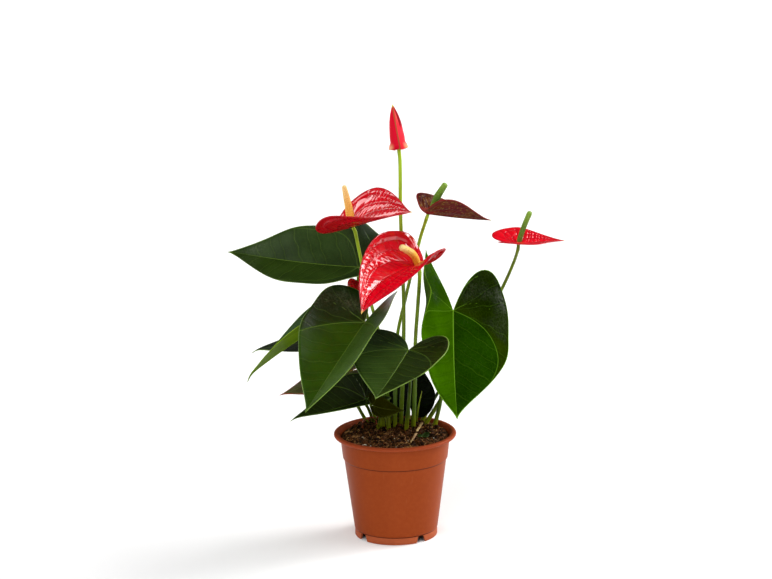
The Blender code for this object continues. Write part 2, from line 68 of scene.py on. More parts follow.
def shade_of(red: int, green: int, blue: int) -> Colour:
    """The linear colour of a screen colour.

    Args:
        red: Screen value, 0 to 255.
        green: Screen value, 0 to 255.
        blue: Screen value, 0 to 255.

    Returns:
        The three linear values.
    """
    values = [value / 255 for value in (red, green, blue)]
    return tuple(v / 12.92 if v <= 0.04045 else ((v + 0.055) / 1.055) ** 2.4 for v in values)


class Signal:
    """A shader socket that Python's operators work on."""

    def __init__(self, graph: "Graph", socket: bpy.types.NodeSocket) -> None:
        """Wrap a socket of a graph."""
        self.graph = graph
        self.socket = socket

    def math(self, operation: str, *values: Value) -> "Signal":
        """A Math node on the given values.

        Args:
            operation: The node's operation.
            values: Its inputs, in order.

        Returns:
            The node's result.
        """
        return self.graph.node("ShaderNodeMath", {"operation": operation}, dict(enumerate(values)))

    def __add__(self, other: Value) -> "Signal":
        """Sum."""
        return self.math("ADD", self, other)

    __radd__ = __add__

    def __sub__(self, other: Value) -> "Signal":
        """Difference."""
        return self.math("SUBTRACT", self, other)

    def __rsub__(self, other: Value) -> "Signal":
        """Difference, turned round."""
        return self.math("SUBTRACT", other, self)

    def __mul__(self, other: Value) -> "Signal":
        """Product."""
        return self.math("MULTIPLY", self, other)

    __rmul__ = __mul__

    def __abs__(self) -> "Signal":
        """Size without its sign."""
        return self.math("ABSOLUTE", self)

    def wave(self) -> "Signal":
        """Cosine of this value as a share of a full turn."""
        return self.math("COSINE", self * FULL_TURN)

    def off_whole(self) -> "Signal":
        """Distance to the nearest whole number."""
        return abs(self.math("FRACT", self + 0.5) - 0.5)

    def most(self, other: Value) -> "Signal":
        """The larger of two values."""
        return self.math("MAXIMUM", self, other)

    def least(self, other: Value) -> "Signal":
        """The smaller of two values."""
        return self.math("MINIMUM", self, other)

    def smooth(self, low: Value, high: Value) -> "Signal":
        """A soft step from 0 at the low value to 1 at the high one.

        Args:
            low: Where the step starts.
            high: Where it ends.

        Returns:
            The step.
        """
        settings = {"interpolation_type": "SMOOTHSTEP"}
        return self.graph.node("ShaderNodeMapRange", settings, {0: self, 1: low, 2: high, 3: 0.0, 4: 1.0})


class Graph:
    """The node tree of one material, with a Principled shader at its end."""

    def __init__(self, name: str) -> None:
        """Make the material.

        Args:
            name: The material's name.
        """
        self.material = bpy.data.materials.new(name)
        self.material.use_nodes = True
        self.tree = self.material.node_tree
        self.shader = self.tree.nodes["Principled BSDF"]

    def node(self, kind: str, settings: dict, inputs: dict, output: Union[int, str] = 0) -> Signal:
        """Add a node.

        Args:
            kind: The node's type.
            settings: Its properties, set first; stops are those of a ramp.
            inputs: The values or links of its sockets, by number or name.
            output: Which of its outputs is wanted.

        Returns:
            That output.
        """
        made = self.tree.nodes.new(kind)
        for name, value in settings.items():
            if name == "stops":
                self.set_stops(made.color_ramp, value)
            else:
                setattr(made, name, value)
        for key, value in inputs.items():
            self.feed(made.inputs[key], value)
        return Signal(self, made.outputs[output])

    @staticmethod
    def set_stops(ramp: bpy.types.ColorRamp, stops: Sequence[tuple[float, Colour]]) -> None:
        """Give a ramp its stops.

        Args:
            ramp: The ramp.
            stops: Place and colour of each stop, in order.
        """
        while len(ramp.elements) < len(stops):
            ramp.elements.new(1.0)
        for element, (place, colour) in zip(ramp.elements, stops):
            element.position = place
            element.color = (*colour, 1.0)

    def feed(self, socket: bpy.types.NodeSocket, value: Union[Value, Sequence[float]]) -> None:
        """Link or set one socket.

        Args:
            socket: The socket.
            value: A signal to link, or a constant.
        """
        if isinstance(value, Signal):
            self.tree.links.new(value.socket, socket)
        elif socket.type == "RGBA" and len(value) == 3:
            socket.default_value = (*value, 1.0)
        else:
            socket.default_value = value

    def set(self, **values: Union[Value, Sequence[float]]) -> None:
        """Set the Principled shader's sockets, named with _ for a space."""
        for name, value in values.items():
            self.feed(self.shader.inputs[name.replace("_", " ")], value)

    def attribute(self, name: str) -> Signal:
        """A number that the mesh holds at each of its points."""
        return self.node("ShaderNodeAttribute", {"attribute_name": name}, {}, "Fac")

    def place(self) -> Signal:
        """The point's place on the object, in metres."""
        return self.node("ShaderNodeTexCoord", {}, {}, "Object")

    def height(self) -> Signal:
        """The point's height, in millimetres."""
        return self.node("ShaderNodeSeparateXYZ", {}, {0: self.place()}, "Z") * (1 / MM)

    def stretched(self, scale: Point) -> Signal:
        """The place with each of its axes scaled."""
        return self.node("ShaderNodeMapping", {}, {"Vector": self.place(), "Scale": scale})

    def grain(self, scale: float, detail: float = 2.0, stretch: Point = (1, 1, 1),
              rough: float = 0.5) -> Signal:
        """Noise over the surface.

        Args:
            scale: How many lumps there are in a metre.
            detail: How many finer layers it has.
            stretch: How much each axis is scaled first.
            rough: How strong the finer layers are.

        Returns:
            Values round 0.5.
        """
        values = {"Vector": self.stretched(stretch), "Scale": scale, "Detail": detail, "Roughness": rough}
        return self.node("ShaderNodeTexNoise", {}, values)

    def cells(self, scale: float, feature: str = "F1") -> Signal:
        """Distance to the middle of the nearest of many scattered cells, as a share of a cell."""
        values = {"Vector": self.place(), "Scale": scale}
        return self.node("ShaderNodeTexVoronoi", {"feature": feature}, values, "Distance")

    def mix(self, share: Value, first: Union[Signal, Colour], second: Union[Signal, Colour]) -> Signal:
        """A colour between two.

        Args:
            share: 0 for the first, 1 for the second.
            first: One colour.
            second: The other colour.

        Returns:
            The mixed colour.
        """
        return self.node("ShaderNodeMix", {"data_type": "RGBA"}, {0: share, 6: first, 7: second}, 2)

    def tint(self, share: Value, first: Signal, second: Union[Signal, Colour]) -> Signal:
        """A colour multiplied by another, as far as the share says."""
        settings = {"data_type": "RGBA", "blend_type": "MULTIPLY"}
        return self.node("ShaderNodeMix", settings, {0: share, 6: first, 7: second}, 2)

    def bump(self, height: Signal) -> Signal:
        """The normal of a relief whose height is in millimetres."""
        return self.node("ShaderNodeBump", {}, {"Strength": 1.0, "Distance": MM, "Height": height})


@dataclass(frozen=True)
class Blade:
    """A heart-shaped blade, joined to its stalk at the bottom of the notch between its two lobes.

    Pairs hold the value for the left half and for the right half.
    """

    name: str
    foot: Point
    heading: float
    pitch: float
    roll: float
    length: float
    widths: tuple[float, float]
    lobe: float
    notch: float
    fold: tuple[float, float]
    curl: tuple[float, float]
    bend: float
    back: tuple[float, float]
    twist: float = 0.0
    sweep: float = 0.0
    hook: float = 0.0
    tail: float = 0.03
    wave: tuple[float, float] = (0.0, 0.0)
    phase: tuple[float, float] = (0.0, 0.0)

    def outline(self, side: int, count: int) -> list[tuple[float, float]]:
        """Flat points of half the edge, from the tip round the lobe to the stalk.

        Args:
            side: 0 for the left half, 1 for the right.
            count: How many steps it has.

        Returns:
            (forward, sideways) pairs.
        """
        length, half, lobe = self.length, self.widths[side], self.lobe
        widest = 0.12 * length
        waist = half * (0.30 + self.notch)
        pieces = (
            ((length, 0), (0.84 * length, self.tail * length), (0.42 * length, half), (widest, half)),
            ((widest, half), (-widest, half), (-lobe, waist + 0.32 * half), (-lobe, waist)),
            ((-lobe, waist), (-lobe, half * self.notch), (-0.35 * lobe, 0.3 * half * self.notch), (0, 0)),
        )
        return [(point.x, point.y) for point in evenly(chained(pieces), count)]

    def directions(self) -> tuple[Vector, Vector, Vector]:
        """How the blade lies at its foot.

        Returns:
            Its forward, left and up directions.
        """
        heading, pitch, roll = (math.radians(angle) for angle in (self.heading, self.pitch, self.roll))
        forward = Vector((math.cos(pitch) * math.cos(heading), math.cos(pitch) * math.sin(heading),
                          math.sin(pitch)))
        level = Vector((0, 0, 1)).cross(forward).normalized()
        above = forward.cross(level)
        left = level * math.cos(roll) + above * math.sin(roll)
        return forward, left, above * math.cos(roll) - level * math.sin(roll)

    def droop(self, share: float) -> float:
        """How far the midrib has turned down at a share of its length, in radians."""
        return math.radians(self.bend) * share + math.radians(self.hook) * max(0.0, (share - 0.8) / 0.2) ** 2

    def midrib(self, along: float, side: int) -> tuple[float, float, float]:
        """The midrib's curve at a distance from the stalk.

        Args:
            along: The distance; negative in a lobe.
            side: Which lobe.

        Returns:
            How far forward and up it lies, and its slope.
        """
        if along < 0:
            rate = math.radians(self.back[side]) / self.length
            turn = rate * -along
            return -math.sin(turn) / rate, (1 - math.cos(turn)) / rate, turn
        x = z = 0.0
        steps = 24
        for step in range(steps):
            slope = self.droop(along / self.length * (step + 0.5) / steps)
            x += math.cos(slope) * along / steps
            z -= math.sin(slope) * along / steps
        return x, z, self.droop(along / self.length)

    def place(self, along: float, across: float, side: int) -> Vector:
        """Where a flat point of the blade lies in space.

        Args:
            along: Distance forward from the stalk.
            across: Distance from the midrib.
            side: 0 for the left half, 1 for the right.

        Returns:
            The point, in millimetres.
        """
        half = self.widths[side]
        fold = math.radians(self.fold[side])
        curl = math.radians(self.curl[side] or 0.01)
        turn = fold + curl * across / half
        sideways = half / curl * (math.sin(turn) - math.sin(fold))
        raised = half / curl * (math.cos(fold) - math.cos(turn))
        ripple = math.sin(math.radians(self.phase[side]) + 4 * math.pi * along / self.length)
        raised += self.wave[side] * ripple * (across / half) ** 2
        if side == 1:
            sideways = -sideways
        twist = math.radians(self.twist) * along / self.length
        sideways, raised = (sideways * math.cos(twist) - raised * math.sin(twist),
                            sideways * math.sin(twist) + raised * math.cos(twist))
        x, z, slope = self.midrib(along, side)
        x += raised * math.sin(slope)
        z += raised * math.cos(slope)
        sweep = math.radians(self.sweep) * x / self.length
        x, y = (x * math.cos(sweep / 2) - sideways * math.sin(sweep),
                sideways * math.cos(sweep) + x * math.sin(sweep / 2))
        forward, left, up = self.directions()
        return Vector(self.foot) + forward * x + left * y + up * z


@dataclass(frozen=True)
class Stalk:
    """A leaf or flower stalk: where it leaves the soil, the points that it passes, and its radii."""

    name: str
    base: tuple[float, float]
    through: tuple[Point, ...]
    radius: float
    base_radius: float


@dataclass(frozen=True)
class Spadix:
    """The finger of tiny flowers on a spathe: two points that it passes, and (share, radius) pairs."""

    name: str
    through: Point
    tip: Point
    profile: tuple[tuple[float, float], ...]


LEAVES = (
    Blade("leaf_upper_left", (-34.5, 40, 260), 167, 1, -20, 134, (54, 54), 34, 0.06, (10, 20), (22, -4), -5,
          (11, 10), twist=-31, sweep=-6, hook=8, wave=(1.7, 6.3), phase=(173, 20)),
    Blade("leaf_front_left", (-28, -34, 223.3), 236, -31.5, 1, 133, (55.5, 55.5), 32, 0.14, (21, 8),
          (32, 52), -10, (13, 1), twist=-9, sweep=11, wave=(1.9, 2.8), phase=(185, 198)),
    Blade("leaf_front", (14, -52, 200.3), 249, -19, -2, 101, (42.5, 53), 22, 0.21, (8, 5), (8, 11), -13,
          (16, 11), twist=-2, sweep=3, wave=(1.1, 0.7), phase=(-90, 25)),
    Blade("leaf_right", (58.4, 20, 220), 268, -49, -26, 129, (65, 65), 50, 0.27, (5, -11), (-24, 102), -19,
          (36, -25), twist=8, sweep=-5, wave=(2.3, 7.6), phase=(165, 27)),
    Blade("leaf_left", (-70, 26, 207), 155, -34.5, -5, 109, (41.5, 41.5), 29, 0.08, (23, 12), (-11, 28), 5,
          (11, 10), twist=-10, hook=30, tail=0.01),
    Blade("leaf_back_low_left", (-66, 69, 178.5), 158, -9, -9, 86, (33, 33), 23, 0.08, (6, 5), (0, 3), 6,
          (10, 10), hook=30, tail=0.01),
    Blade("leaf_lower_left", (-45, 81, 143), 155, -22, -26, 86, (33, 33), 22, 0.08, (8, 6), (-1, 9), 2,
          (10, 10), twist=3, tail=0.01),
    Blade("leaf_low_left", (-28, 6, 135), 213, -8, -17, 84, (31.5, 31.5), 17, 0.16, (19, 19), (17, 24), -4,
          (10, 12), twist=14, sweep=-11, hook=40, tail=0.01),
    Blade("leaf_upright", (15, 41, 122), 84, 72, 12, 51, (27, 27), 16, 0.08, (15, 22), (-8, 11), -20,
          (13, 15)),
    Blade("leaf_small", (-20, -34, 140), 303, 1, 95, 38, (14.5, 11), 8, 0.08, (-2, -8), (7, 1), 37,
          (10, 10)),
    Blade("leaf_back_left", (-34, 52, 202), 102, -4, 0, 100, (36, 36), 24, 0.10, (-8, -24), (-8, -36), 16,
          (12, 12), wave=(1.5, 1.5), phase=(0, 70)),
    Blade("leaf_back_right", (70, 66, 160.5), 76, -6, 0, 84, (35, 35), 22, 0.10, (-4, -4), (-8, -8), 18,
          (12, 12), wave=(1.5, 1.5), phase=(60, 130)),
)

SPATHES = (
    Blade("flower_left_spathe", (-38.5, -15, 313.6), 317, 20, 20, 87, (43, 43), 27, 0.06, (18, 16),
          (16, 49), 1, (8, 10), sweep=-7),
    Blade("flower_centre_spathe", (24.5, -25, 276), 214.5, 2.5, 21, 102, (44.5, 44.5), 15, 0.21, (3, 31),
          (18, 75), 48, (18, 2), twist=-41, sweep=29, wave=(0.9, 0.5), phase=(7, 238)),
    Blade("flower_brown_spathe", (34.5, -5, 323), 28, -14, 14, 71, (29.5, 29.5), 8, 0.06, (26, 39),
          (-10, 30), -5, (11, 17), twist=-8),
    Blade("flower_right_spathe", (122.6, 30, 284), 20, -5, -4, 51, (24.5, 24.5), 25, 0.15, (28, 18),
          (10, -24), -6, (8, 8), sweep=8),
)

LEAF_STALKS = (
    Stalk("leaf_upper_left_stalk", (-12, 19), ((-18, 25, 170), (-26, 31, 214.5), (-34, 40, 241)), 1.6, 3.2),
    Stalk("leaf_front_left_stalk", (-6, 13),
          ((-11, 16, 140), (-18, 12, 165), (-26, -4, 205), (-27, -20, 218.5)), 1.7, 2.4),
    Stalk("leaf_front_stalk", (11, 8), ((15, -2, 150), (14, -30, 181)), 1.7, 2.3),
    Stalk("leaf_right_stalk", (39.5, 23), ((45, 25, 126), (52, 35, 177)), 1.7, 2.3),
    Stalk("leaf_left_stalk", (-27, 32), ((-37, 37, 121), (-55, 30, 167)), 1.5, 1.9),
    Stalk("leaf_back_low_left_stalk", (-11, 44), ((-18, 44, 150), (-40, 54, 167)), 1.5, 2.0),
    Stalk("leaf_lower_left_stalk", (-19, 42), ((-29, 62, 128),), 1.5, 2.0),
    Stalk("leaf_low_left_stalk", (-21, 34), ((-26, 13, 124),), 1.5, 2.0),
    Stalk("leaf_upright_stalk", (14, 42), (), 1.5, 2.0),
    Stalk("leaf_small_stalk", (-17, 10), ((-15, -16, 122),), 1.2, 1.8),
    Stalk("leaf_back_left_stalk", (-3, 38), ((-5, 47, 150), (-24, 50, 186)), 1.6, 2.2),
    Stalk("leaf_back_right_stalk", (27, 39), ((50, 54, 138),), 1.6, 2.2),
)

FLOWER_STALKS = (
    Stalk("flower_left_stalk", (-5, 28), ((-12, 10, 188), (-24, -16, 248), (-33, -19, 294)), 1.65, 2.3),
    Stalk("flower_centre_stalk", (18, 17), ((20, 16, 146), (21, 14, 190), (24, 2, 234)), 1.85, 2.4),
    Stalk("flower_brown_stalk", (0, 20), ((3, 20, 191), (12, 22, 233), (26, 16, 291)), 1.65, 2.3),
    Stalk("flower_right_stalk", (31, 31),
          ((48, 35, 129.5), (75, 45, 173.5), (107, 68, 228), (118, 50, 258.5)), 1.65, 2.3),
)

YOUNG_SPATHE = Blade("young_flower_spathe", (-33, 20, 249.5), 285, -38, 5, 29, (14, 14), 9, 0.3, (-20, -20),
                     (-40, -40), 10, (10, 10))
YOUNG_STALK = Stalk("young_flower_stalk", (-13, 29), ((-21, 31, 150), (-27, 27, 190), (-32, 26, 229)), 1.4,
                    1.9)

BUD_BASE = (7, 0, 386)
BUD_TIP = (1.5, 0, 429.5)
BUD_STALK = Stalk("bud_stalk", (6, 26), ((10, 8, 217), (8, 4, 320), (8, 0, 374)), 1.8, 2.4)

SPADICES = (
    Spadix("flower_left_spadix", (-42, -15, 333.7), (-46, -16, 354.7),
           ((0.0, 1.4), (0.10, 3.4), (0.3, 3.9), (0.7, 3.1), (0.93, 2.4), (1.0, 1.1))),
    Spadix("flower_centre_spadix", (19, -33, 290), (7, -43, 300),
           ((0.0, 1.4), (0.10, 3.2), (0.5, 3.6), (0.92, 3.2), (1.0, 1.6))),
    Spadix("flower_brown_spadix", (43, -5, 339), (52, -5, 353),
           ((0.0, 1.2), (0.2, 1.9), (0.55, 3.4), (0.93, 2.8), (1.0, 1.2))),
    Spadix("flower_right_spadix", (128, 30, 300.8), (134.5, 30, 316.6),
           ((0.0, 1.2), (0.10, 2.5), (0.92, 2.6), (1.0, 1.2))),
)

SPEAR = Stalk("leaf_spear", (21, 32), ((22, 25, 113), (24.5, 21, 128), (27, 20, 139)), 0.3, 1.9)
DRY_SHEATH = Stalk("dry_sheath", (-32, 19),
                   ((-31, 18, 109), (-26, 17, 113), (-20, 16.5, 113), (-17.5, 16, 106)), 0.5, 1.2)
LEAF_SCRAP = Blade("leaf_scrap", (26.5, -12, 102.0), 75, 1, 0, 36, (5, 6), 2, 0.1, (4, 4), (-4, -4), 0,
                   (2, 2))


def chained(pieces: Iterable[Sequence[Sequence[float]]]) -> list[Vector]:
    """Many short steps along a chain of flat Bezier curves.

    Args:
        pieces: The four points of each curve.

    Returns:
        The points, with Z at 0.
    """
    fine: list[Vector] = []
    for piece in pieces:
        corners = [Vector((*corner, 0)) for corner in piece]
        fine += interpolate_bezier(*corners, 40)[1 if fine else 0:]
    return fine


def walked(line: Sequence[Vector]) -> list[float]:
    """The distance to each point along a line.

    Args:
        line: The points of the line.

    Returns:
        One distance for each point, 0 for the first.
    """
    lengths = [0.0]
    for start, end in zip(line, line[1:]):
        lengths.append(lengths[-1] + (end - start).length)
    return lengths


def evenly(line: Sequence[Vector], count: int) -> list[Vector]:
    """Points at equal steps along a line of many short ones.

    Args:
        line: The line.
        count: How many steps.

    Returns:
        One point more than there are steps.
    """
    lengths = walked(line)
    points = []
    place = 0
    for step in range(count):
        wanted = lengths[-1] * step / count
        while lengths[place + 1] < wanted:
            place += 1
        share = (wanted - lengths[place]) / (lengths[place + 1] - lengths[place])
        points.append(line[place].lerp(line[place + 1], share))
    return points + [line[-1].copy()]


def smooth_path(points: Iterable[Point], step: float) -> list[Vector]:
    """Points about a step apart on a smooth curve through the given ones.

    Args:
        points: The points that it passes.
        step: The distance between its own.

    Returns:
        The path.
    """
    knots = [Vector(point) for point in points]
    fine: list[Vector] = []
    for index in range(len(knots) - 1):
        start, end = knots[index], knots[index + 1]
        before = knots[max(index - 1, 0)]
        after = knots[min(index + 2, len(knots) - 1)]
        reach = (end - start).length / 3
        leaving = start + (end - before).normalized() * reach
        arriving = end - (after - start).normalized() * reach
        fine += interpolate_bezier(start, leaving, arriving, end, 24)[1 if fine else 0:]
    return evenly(fine, max(3, round(walked(fine)[-1] / step)))


def between(pairs: Sequence[tuple[float, float]], share: float) -> float:
    """The value that a row of pairs gives at a share.

    Args:
        pairs: (share, value) pairs, in order.
        share: The share that is asked for.

    Returns:
        The value there.
    """
    for (low, first), (high, second) in zip(pairs, pairs[1:]):
        if share <= high:
            return first + (second - first) * (share - low) / (high - low)
    return pairs[-1][1]


def soil_height(x: float, y: float) -> float:
    """Height of the soil, a low mound with lumps that lies a little higher at the back.

    Args:
        x: Distance to the right of the pot's axis.
        y: Distance behind it.

    Returns:
        The height above the floor.
    """
    radius = math.hypot(x, y)
    lumps = 0.5 * math.sin(x / 4.1 + 1.3) * math.cos(y / 3.7) + 0.4 * math.sin(x / 7.3 - y / 5.9)
    crown = SOIL_CROWN * (1 - (radius / SOIL_REACH) ** 2)
    return SOIL_EDGE_Z + crown + (lumps + SOIL_TILT * y / SOIL_REACH) * min(1, (SOIL_REACH - radius) / 6)


def distance_to(points: np.ndarray, line: np.ndarray) -> np.ndarray:
    """Signed distance of flat points to a line, positive on its left.

    Args:
        points: One row for each point.
        line: One row for each point of the line, in order.

    Returns:
        One distance for each point.
    """
    start, step = line[:-1], np.diff(line, axis=0)
    offset = points[:, None, :] - start[None, :, :]
    share = np.clip((offset * step).sum(2) / (step * step).sum(1), 0, 1)
    apart = offset - share[:, :, None] * step
    length = np.hypot(apart[:, :, 0], apart[:, :, 1])
    nearest = length.argmin(1)
    rows = np.arange(len(points))
    cross = step[nearest, 0] * offset[rows, nearest, 1] - step[nearest, 1] * offset[rows, nearest, 0]
    return length[rows, nearest] * np.where(cross >= 0, 1, -1)


def meshed(name: str, shape: bmesh.types.BMesh) -> bpy.types.Mesh:
    """A mesh with a bmesh's shape, which is freed.

    Args:
        name: The mesh's name.
        shape: Its shape.

    Returns:
        The mesh.
    """
    mesh = bpy.data.meshes.new(name)
    shape.to_mesh(mesh)
    shape.free()
    return mesh


def added(name: str, data: bpy.types.ID) -> bpy.types.Object:
    """A new object of the scene.

    Args:
        name: The object's name.
        data: Its mesh, light or camera.

    Returns:
        The object.
    """
    made = bpy.data.objects.new(name, data)
    bpy.context.scene.collection.objects.link(made)
    return made


def finished(name: str, shape: bmesh.types.BMesh, finishes: Sequence[bpy.types.Material],
             slot: str, *nodes: str, sharp: float = 180.0) -> bpy.types.Object:
    """Turn a bmesh into a piece of the object.

    Args:
        name: The piece's name.
        shape: Its shape, which is freed.
        finishes: Its materials.
        slot: The name of a material slot, which is not used.
        nodes: The nodes that it stands for.
        sharp: Edges that turn by more than this stay sharp.

    Returns:
        The piece.
    """
    mesh = meshed(name, shape)
    for finish in finishes:
        mesh.materials.append(finish)
    mesh.shade_smooth()
    if sharp < 180:
        mesh.set_sharp_from_angle(angle=math.radians(sharp))
    piece = added(name, mesh)
    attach(piece, BODY)
    if nodes:
        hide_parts(*nodes)
    log.info("%s: %d faces", name, len(mesh.polygons))
    return piece


def turned(shape: bmesh.types.BMesh, profile: Sequence[bmesh.types.BMVert], steps: int) -> None:
    """Turn a profile round the Z axis.

    Args:
        shape: The bmesh that holds the profile.
        profile: Its points, in order.
        steps: How many steps a full turn has.
    """
    edges = [shape.edges.new(pair) for pair in zip(profile, profile[1:])]
    bmesh.ops.spin(shape, geom=[*profile, *edges], cent=(0, 0, 0), axis=(0, 0, 1), angle=FULL_TURN,
                   steps=steps, use_merge=True)
    bmesh.ops.remove_doubles(shape, verts=shape.verts, dist=MERGE)


def ring_of(shape: bmesh.types.BMesh,
            sides: int) -> tuple[list[bmesh.types.BMVert], list[bmesh.types.BMEdge]]:
    """A new ring.

    Args:
        shape: The bmesh that gets it.
        sides: How many sides it has.

    Returns:
        Its points and its edges.
    """
    ring = bmesh.ops.create_circle(shape, cap_ends=False, segments=sides, radius=1.0)["verts"]
    return ring, list(dict.fromkeys(edge for vertex in ring for edge in vertex.link_edges))


def tube(shape: bmesh.types.BMesh, path: Sequence[Vector], radii: Sequence[float], sides: int,
         ridge: Callable[[float, float], float] = lambda share, turn: 1.0) -> None:
    """Sweep a ring along a path, ring after ring, and close both ends.

    Args:
        shape: The bmesh that gets the tube.
        path: The points of its axis, in millimetres.
        radii: The radius at each point.
        sides: How many sides it has.
        ridge: Factor on the radius at a share of the path and of a turn.
    """
    share_layer = shape.verts.layers.float.get("share") or shape.verts.layers.float.new("share")
    turn_layer = shape.verts.layers.float.get("turn") or shape.verts.layers.float.new("turn")
    lengths = walked(path)
    ahead = (path[1] - path[0]).normalized()
    across = ahead.cross(Vector((0.3, 1, 0.1))).normalized()
    ring, edges = ring_of(shape, sides)
    last = len(path) - 1
    for index, place in enumerate(path):
        if index:
            made = bmesh.ops.extrude_edge_only(shape, edges=edges)["geom"]
            edges = [part for part in made if isinstance(part, bmesh.types.BMEdge)]
            follows = {}
            for old in ring:
                for edge in old.link_edges:
                    other = edge.other_vert(old)
                    if other in made:
                        follows[old] = other
            ring = [follows[old] for old in ring]
        ahead = (path[min(index + 1, last)] - path[max(index - 1, 0)]).normalized()
        across = (across - ahead * across.dot(ahead)).normalized()
        side = ahead.cross(across)
        for number, vertex in enumerate(ring):
            turn = number / sides
            angle = FULL_TURN * turn
            radius = radii[index] * ridge(lengths[index] / lengths[-1], turn)
            vertex.co = (place + (across * math.cos(angle) + side * math.sin(angle)) * radius) * MM
            vertex[share_layer] = lengths[index] / lengths[-1]
            vertex[turn_layer] = abs(2 * turn - 1)
        if index == 0:
            first = list(edges)
    bmesh.ops.holes_fill(shape, edges=first, sides=0)
    bmesh.ops.holes_fill(shape, edges=edges, sides=0)
    bmesh.ops.recalc_face_normals(shape, faces=shape.faces)


@dataclass(frozen=True)
class LeafFinish:
    """The colours of one leaf: four zones, partly its own green and partly painted sheen, its veins, its
    margin and its underside.
    """

    left_inner: Colour
    left_outer: Colour
    right_inner: Colour
    right_outer: Colour
    vein: Colour = shade_of(96, 124, 40)
    margin: Colour = shade_of(120, 150, 60)
    under: Colour = shade_of(72, 104, 38)
    midrib: float = 0.75  # how strongly the midrib shows
    arcs: float = 0.42  # how strongly the curved main veins show
    ribs: float = 0.13  # how strongly the side veins show
    edge: float = 0.7  # width of the light margin
    gloss: float = 0.34  # roughness
    shine: float = 0.15  # how strongly it mirrors the lights
    wax_and_sheen: float = 0.0  # how thick the grey waxy coat on its lobes is, and how strongly a painted grey sheen shows there
    tip_wax_and_sheen: float = 0.0  # how thick the waxy coat and the painted sheen are towards its tip
    # painted sheen: a grey mixed into the green where the waxy coat lies, standing in for the lights' sheen
    painted_sheen: Colour = shade_of(104, 114, 88)
    speck: Colour = shade_of(120, 130, 105)
    cloud_tint: Colour = shade_of(166, 178, 140)
    # painted shade: the blue grey that darkens the lobes, with a painted sheen in it
    painted_lobe_shade: Colour = shade_of(140, 152, 180)
    rib_tint: Colour = shade_of(170, 180, 150)
    under_tint: Colour = shade_of(190, 200, 160)

    @classmethod
    def even(cls, green: Colour, **others: Union[Colour, float]) -> "LeafFinish":
        """The finish of a leaf whose four zones have one colour."""
        return cls(green, green, green, green, **others)

    def veins(self, graph: Graph) -> tuple[Signal, Signal, Signal]:
        """Where the veins run.

        Args:
            graph: The material's nodes.

        Returns:
            Masks of the midrib, the curved main veins and the side veins.
        """
        wide = 1.15 - graph.attribute("along") * 0.75
        midrib = 1 - abs(graph.attribute("across")).smooth(wide * 0.35, wide * 0.8)
        arc = abs(graph.attribute("arc")).least(abs(graph.attribute("lobe_arc")))
        arcs = 1 - arc.smooth(0.2, 0.75)
        ribs = 1 - (graph.attribute("rib").off_whole() * graph.attribute("span")).smooth(0.1, 0.65)
        return midrib, arcs, ribs

    def zones(self, graph: Graph, cloud: Signal, ahead: Signal) -> Signal:
        """The green of the upper side, without its veins, with painted sheen in its zones and painted shade
        on its lobes.

        Args:
            graph: The material's nodes.
            cloud: The noise of the soft clouds.
            ahead: How far ahead of the lobes a point lies, as a share of the length.

        Returns:
            The colour.
        """
        # painted sheen: a half or zone that catches the light is given a lighter, greyer green
        outer = graph.attribute("arc").smooth(-1.5, 4.0)
        left = graph.mix(outer, self.left_inner, self.left_outer)
        right = graph.mix(outer, self.right_inner, self.right_outer)
        base = graph.mix(graph.attribute("across").smooth(-0.6, 0.6), right, left)
        base = graph.tint(cloud.smooth(0.62, 0.30) * 0.6, base, self.cloud_tint)
        # painted shade: the lobes are darkened towards a blue grey, as where they curl away from the light
        base = graph.tint(ahead.smooth(0.06, -0.18) * 0.75, base, self.painted_lobe_shade)
        return graph.tint(graph.attribute("rib").wave().smooth(-0.2, 1.0) * 0.25, base, self.rib_tint)

    def wax_and_sheen_mask(self, graph: Graph, ahead: Signal) -> Signal:
        """Where the grey waxy coat and its painted sheen lie, broken into patches.

        Args:
            graph: The material's nodes.
            ahead: How far ahead of the lobes a point lies, as a share of the length.

        Returns:
            The mask.
        """
        speckled = graph.grain(560.0, 4.0, rough=0.7).smooth(0.40, 0.66)
        speckled = speckled * graph.grain(34.0, 2.0).smooth(0.34, 0.66)
        at_tip = graph.attribute("along").smooth(0.60, 0.92) * self.tip_wax_and_sheen
        return (ahead.smooth(-0.04, -0.22) * self.wax_and_sheen + at_tip) * speckled

    def upper(self, name: str) -> bpy.types.Material:
        """The material of the upper side.

        Args:
            name: The material's name.

        Returns:
            The material.
        """
        graph = Graph(name)
        cloud = graph.grain(38.0, 3.0)
        along, margin = graph.attribute("along"), graph.attribute("margin")
        ahead = along - abs(graph.attribute("across")) * 0.004
        midrib, arcs, ribs = self.veins(graph)
        base = graph.mix(ribs * self.ribs, self.zones(graph, cloud, ahead), self.vein)
        base = graph.mix(arcs * self.arcs * (1 - along.smooth(0.25, 0.75) * 0.8), base, self.vein)
        base = graph.mix(midrib * (1 - along.smooth(0.55, 1.0) * 0.65) * self.midrib, base, self.vein)
        net = 1 - graph.cells(230.0, "DISTANCE_TO_EDGE").smooth(0.01, 0.08)
        base = graph.mix(net * 0.03, base, self.vein)
        specks = 1 - graph.cells(420.0).smooth(0.06, 0.13)
        base = graph.mix(specks * cloud.smooth(0.5, 0.65) * 0.3, base, self.speck)
        wax_and_sheen = self.wax_and_sheen_mask(graph, ahead)
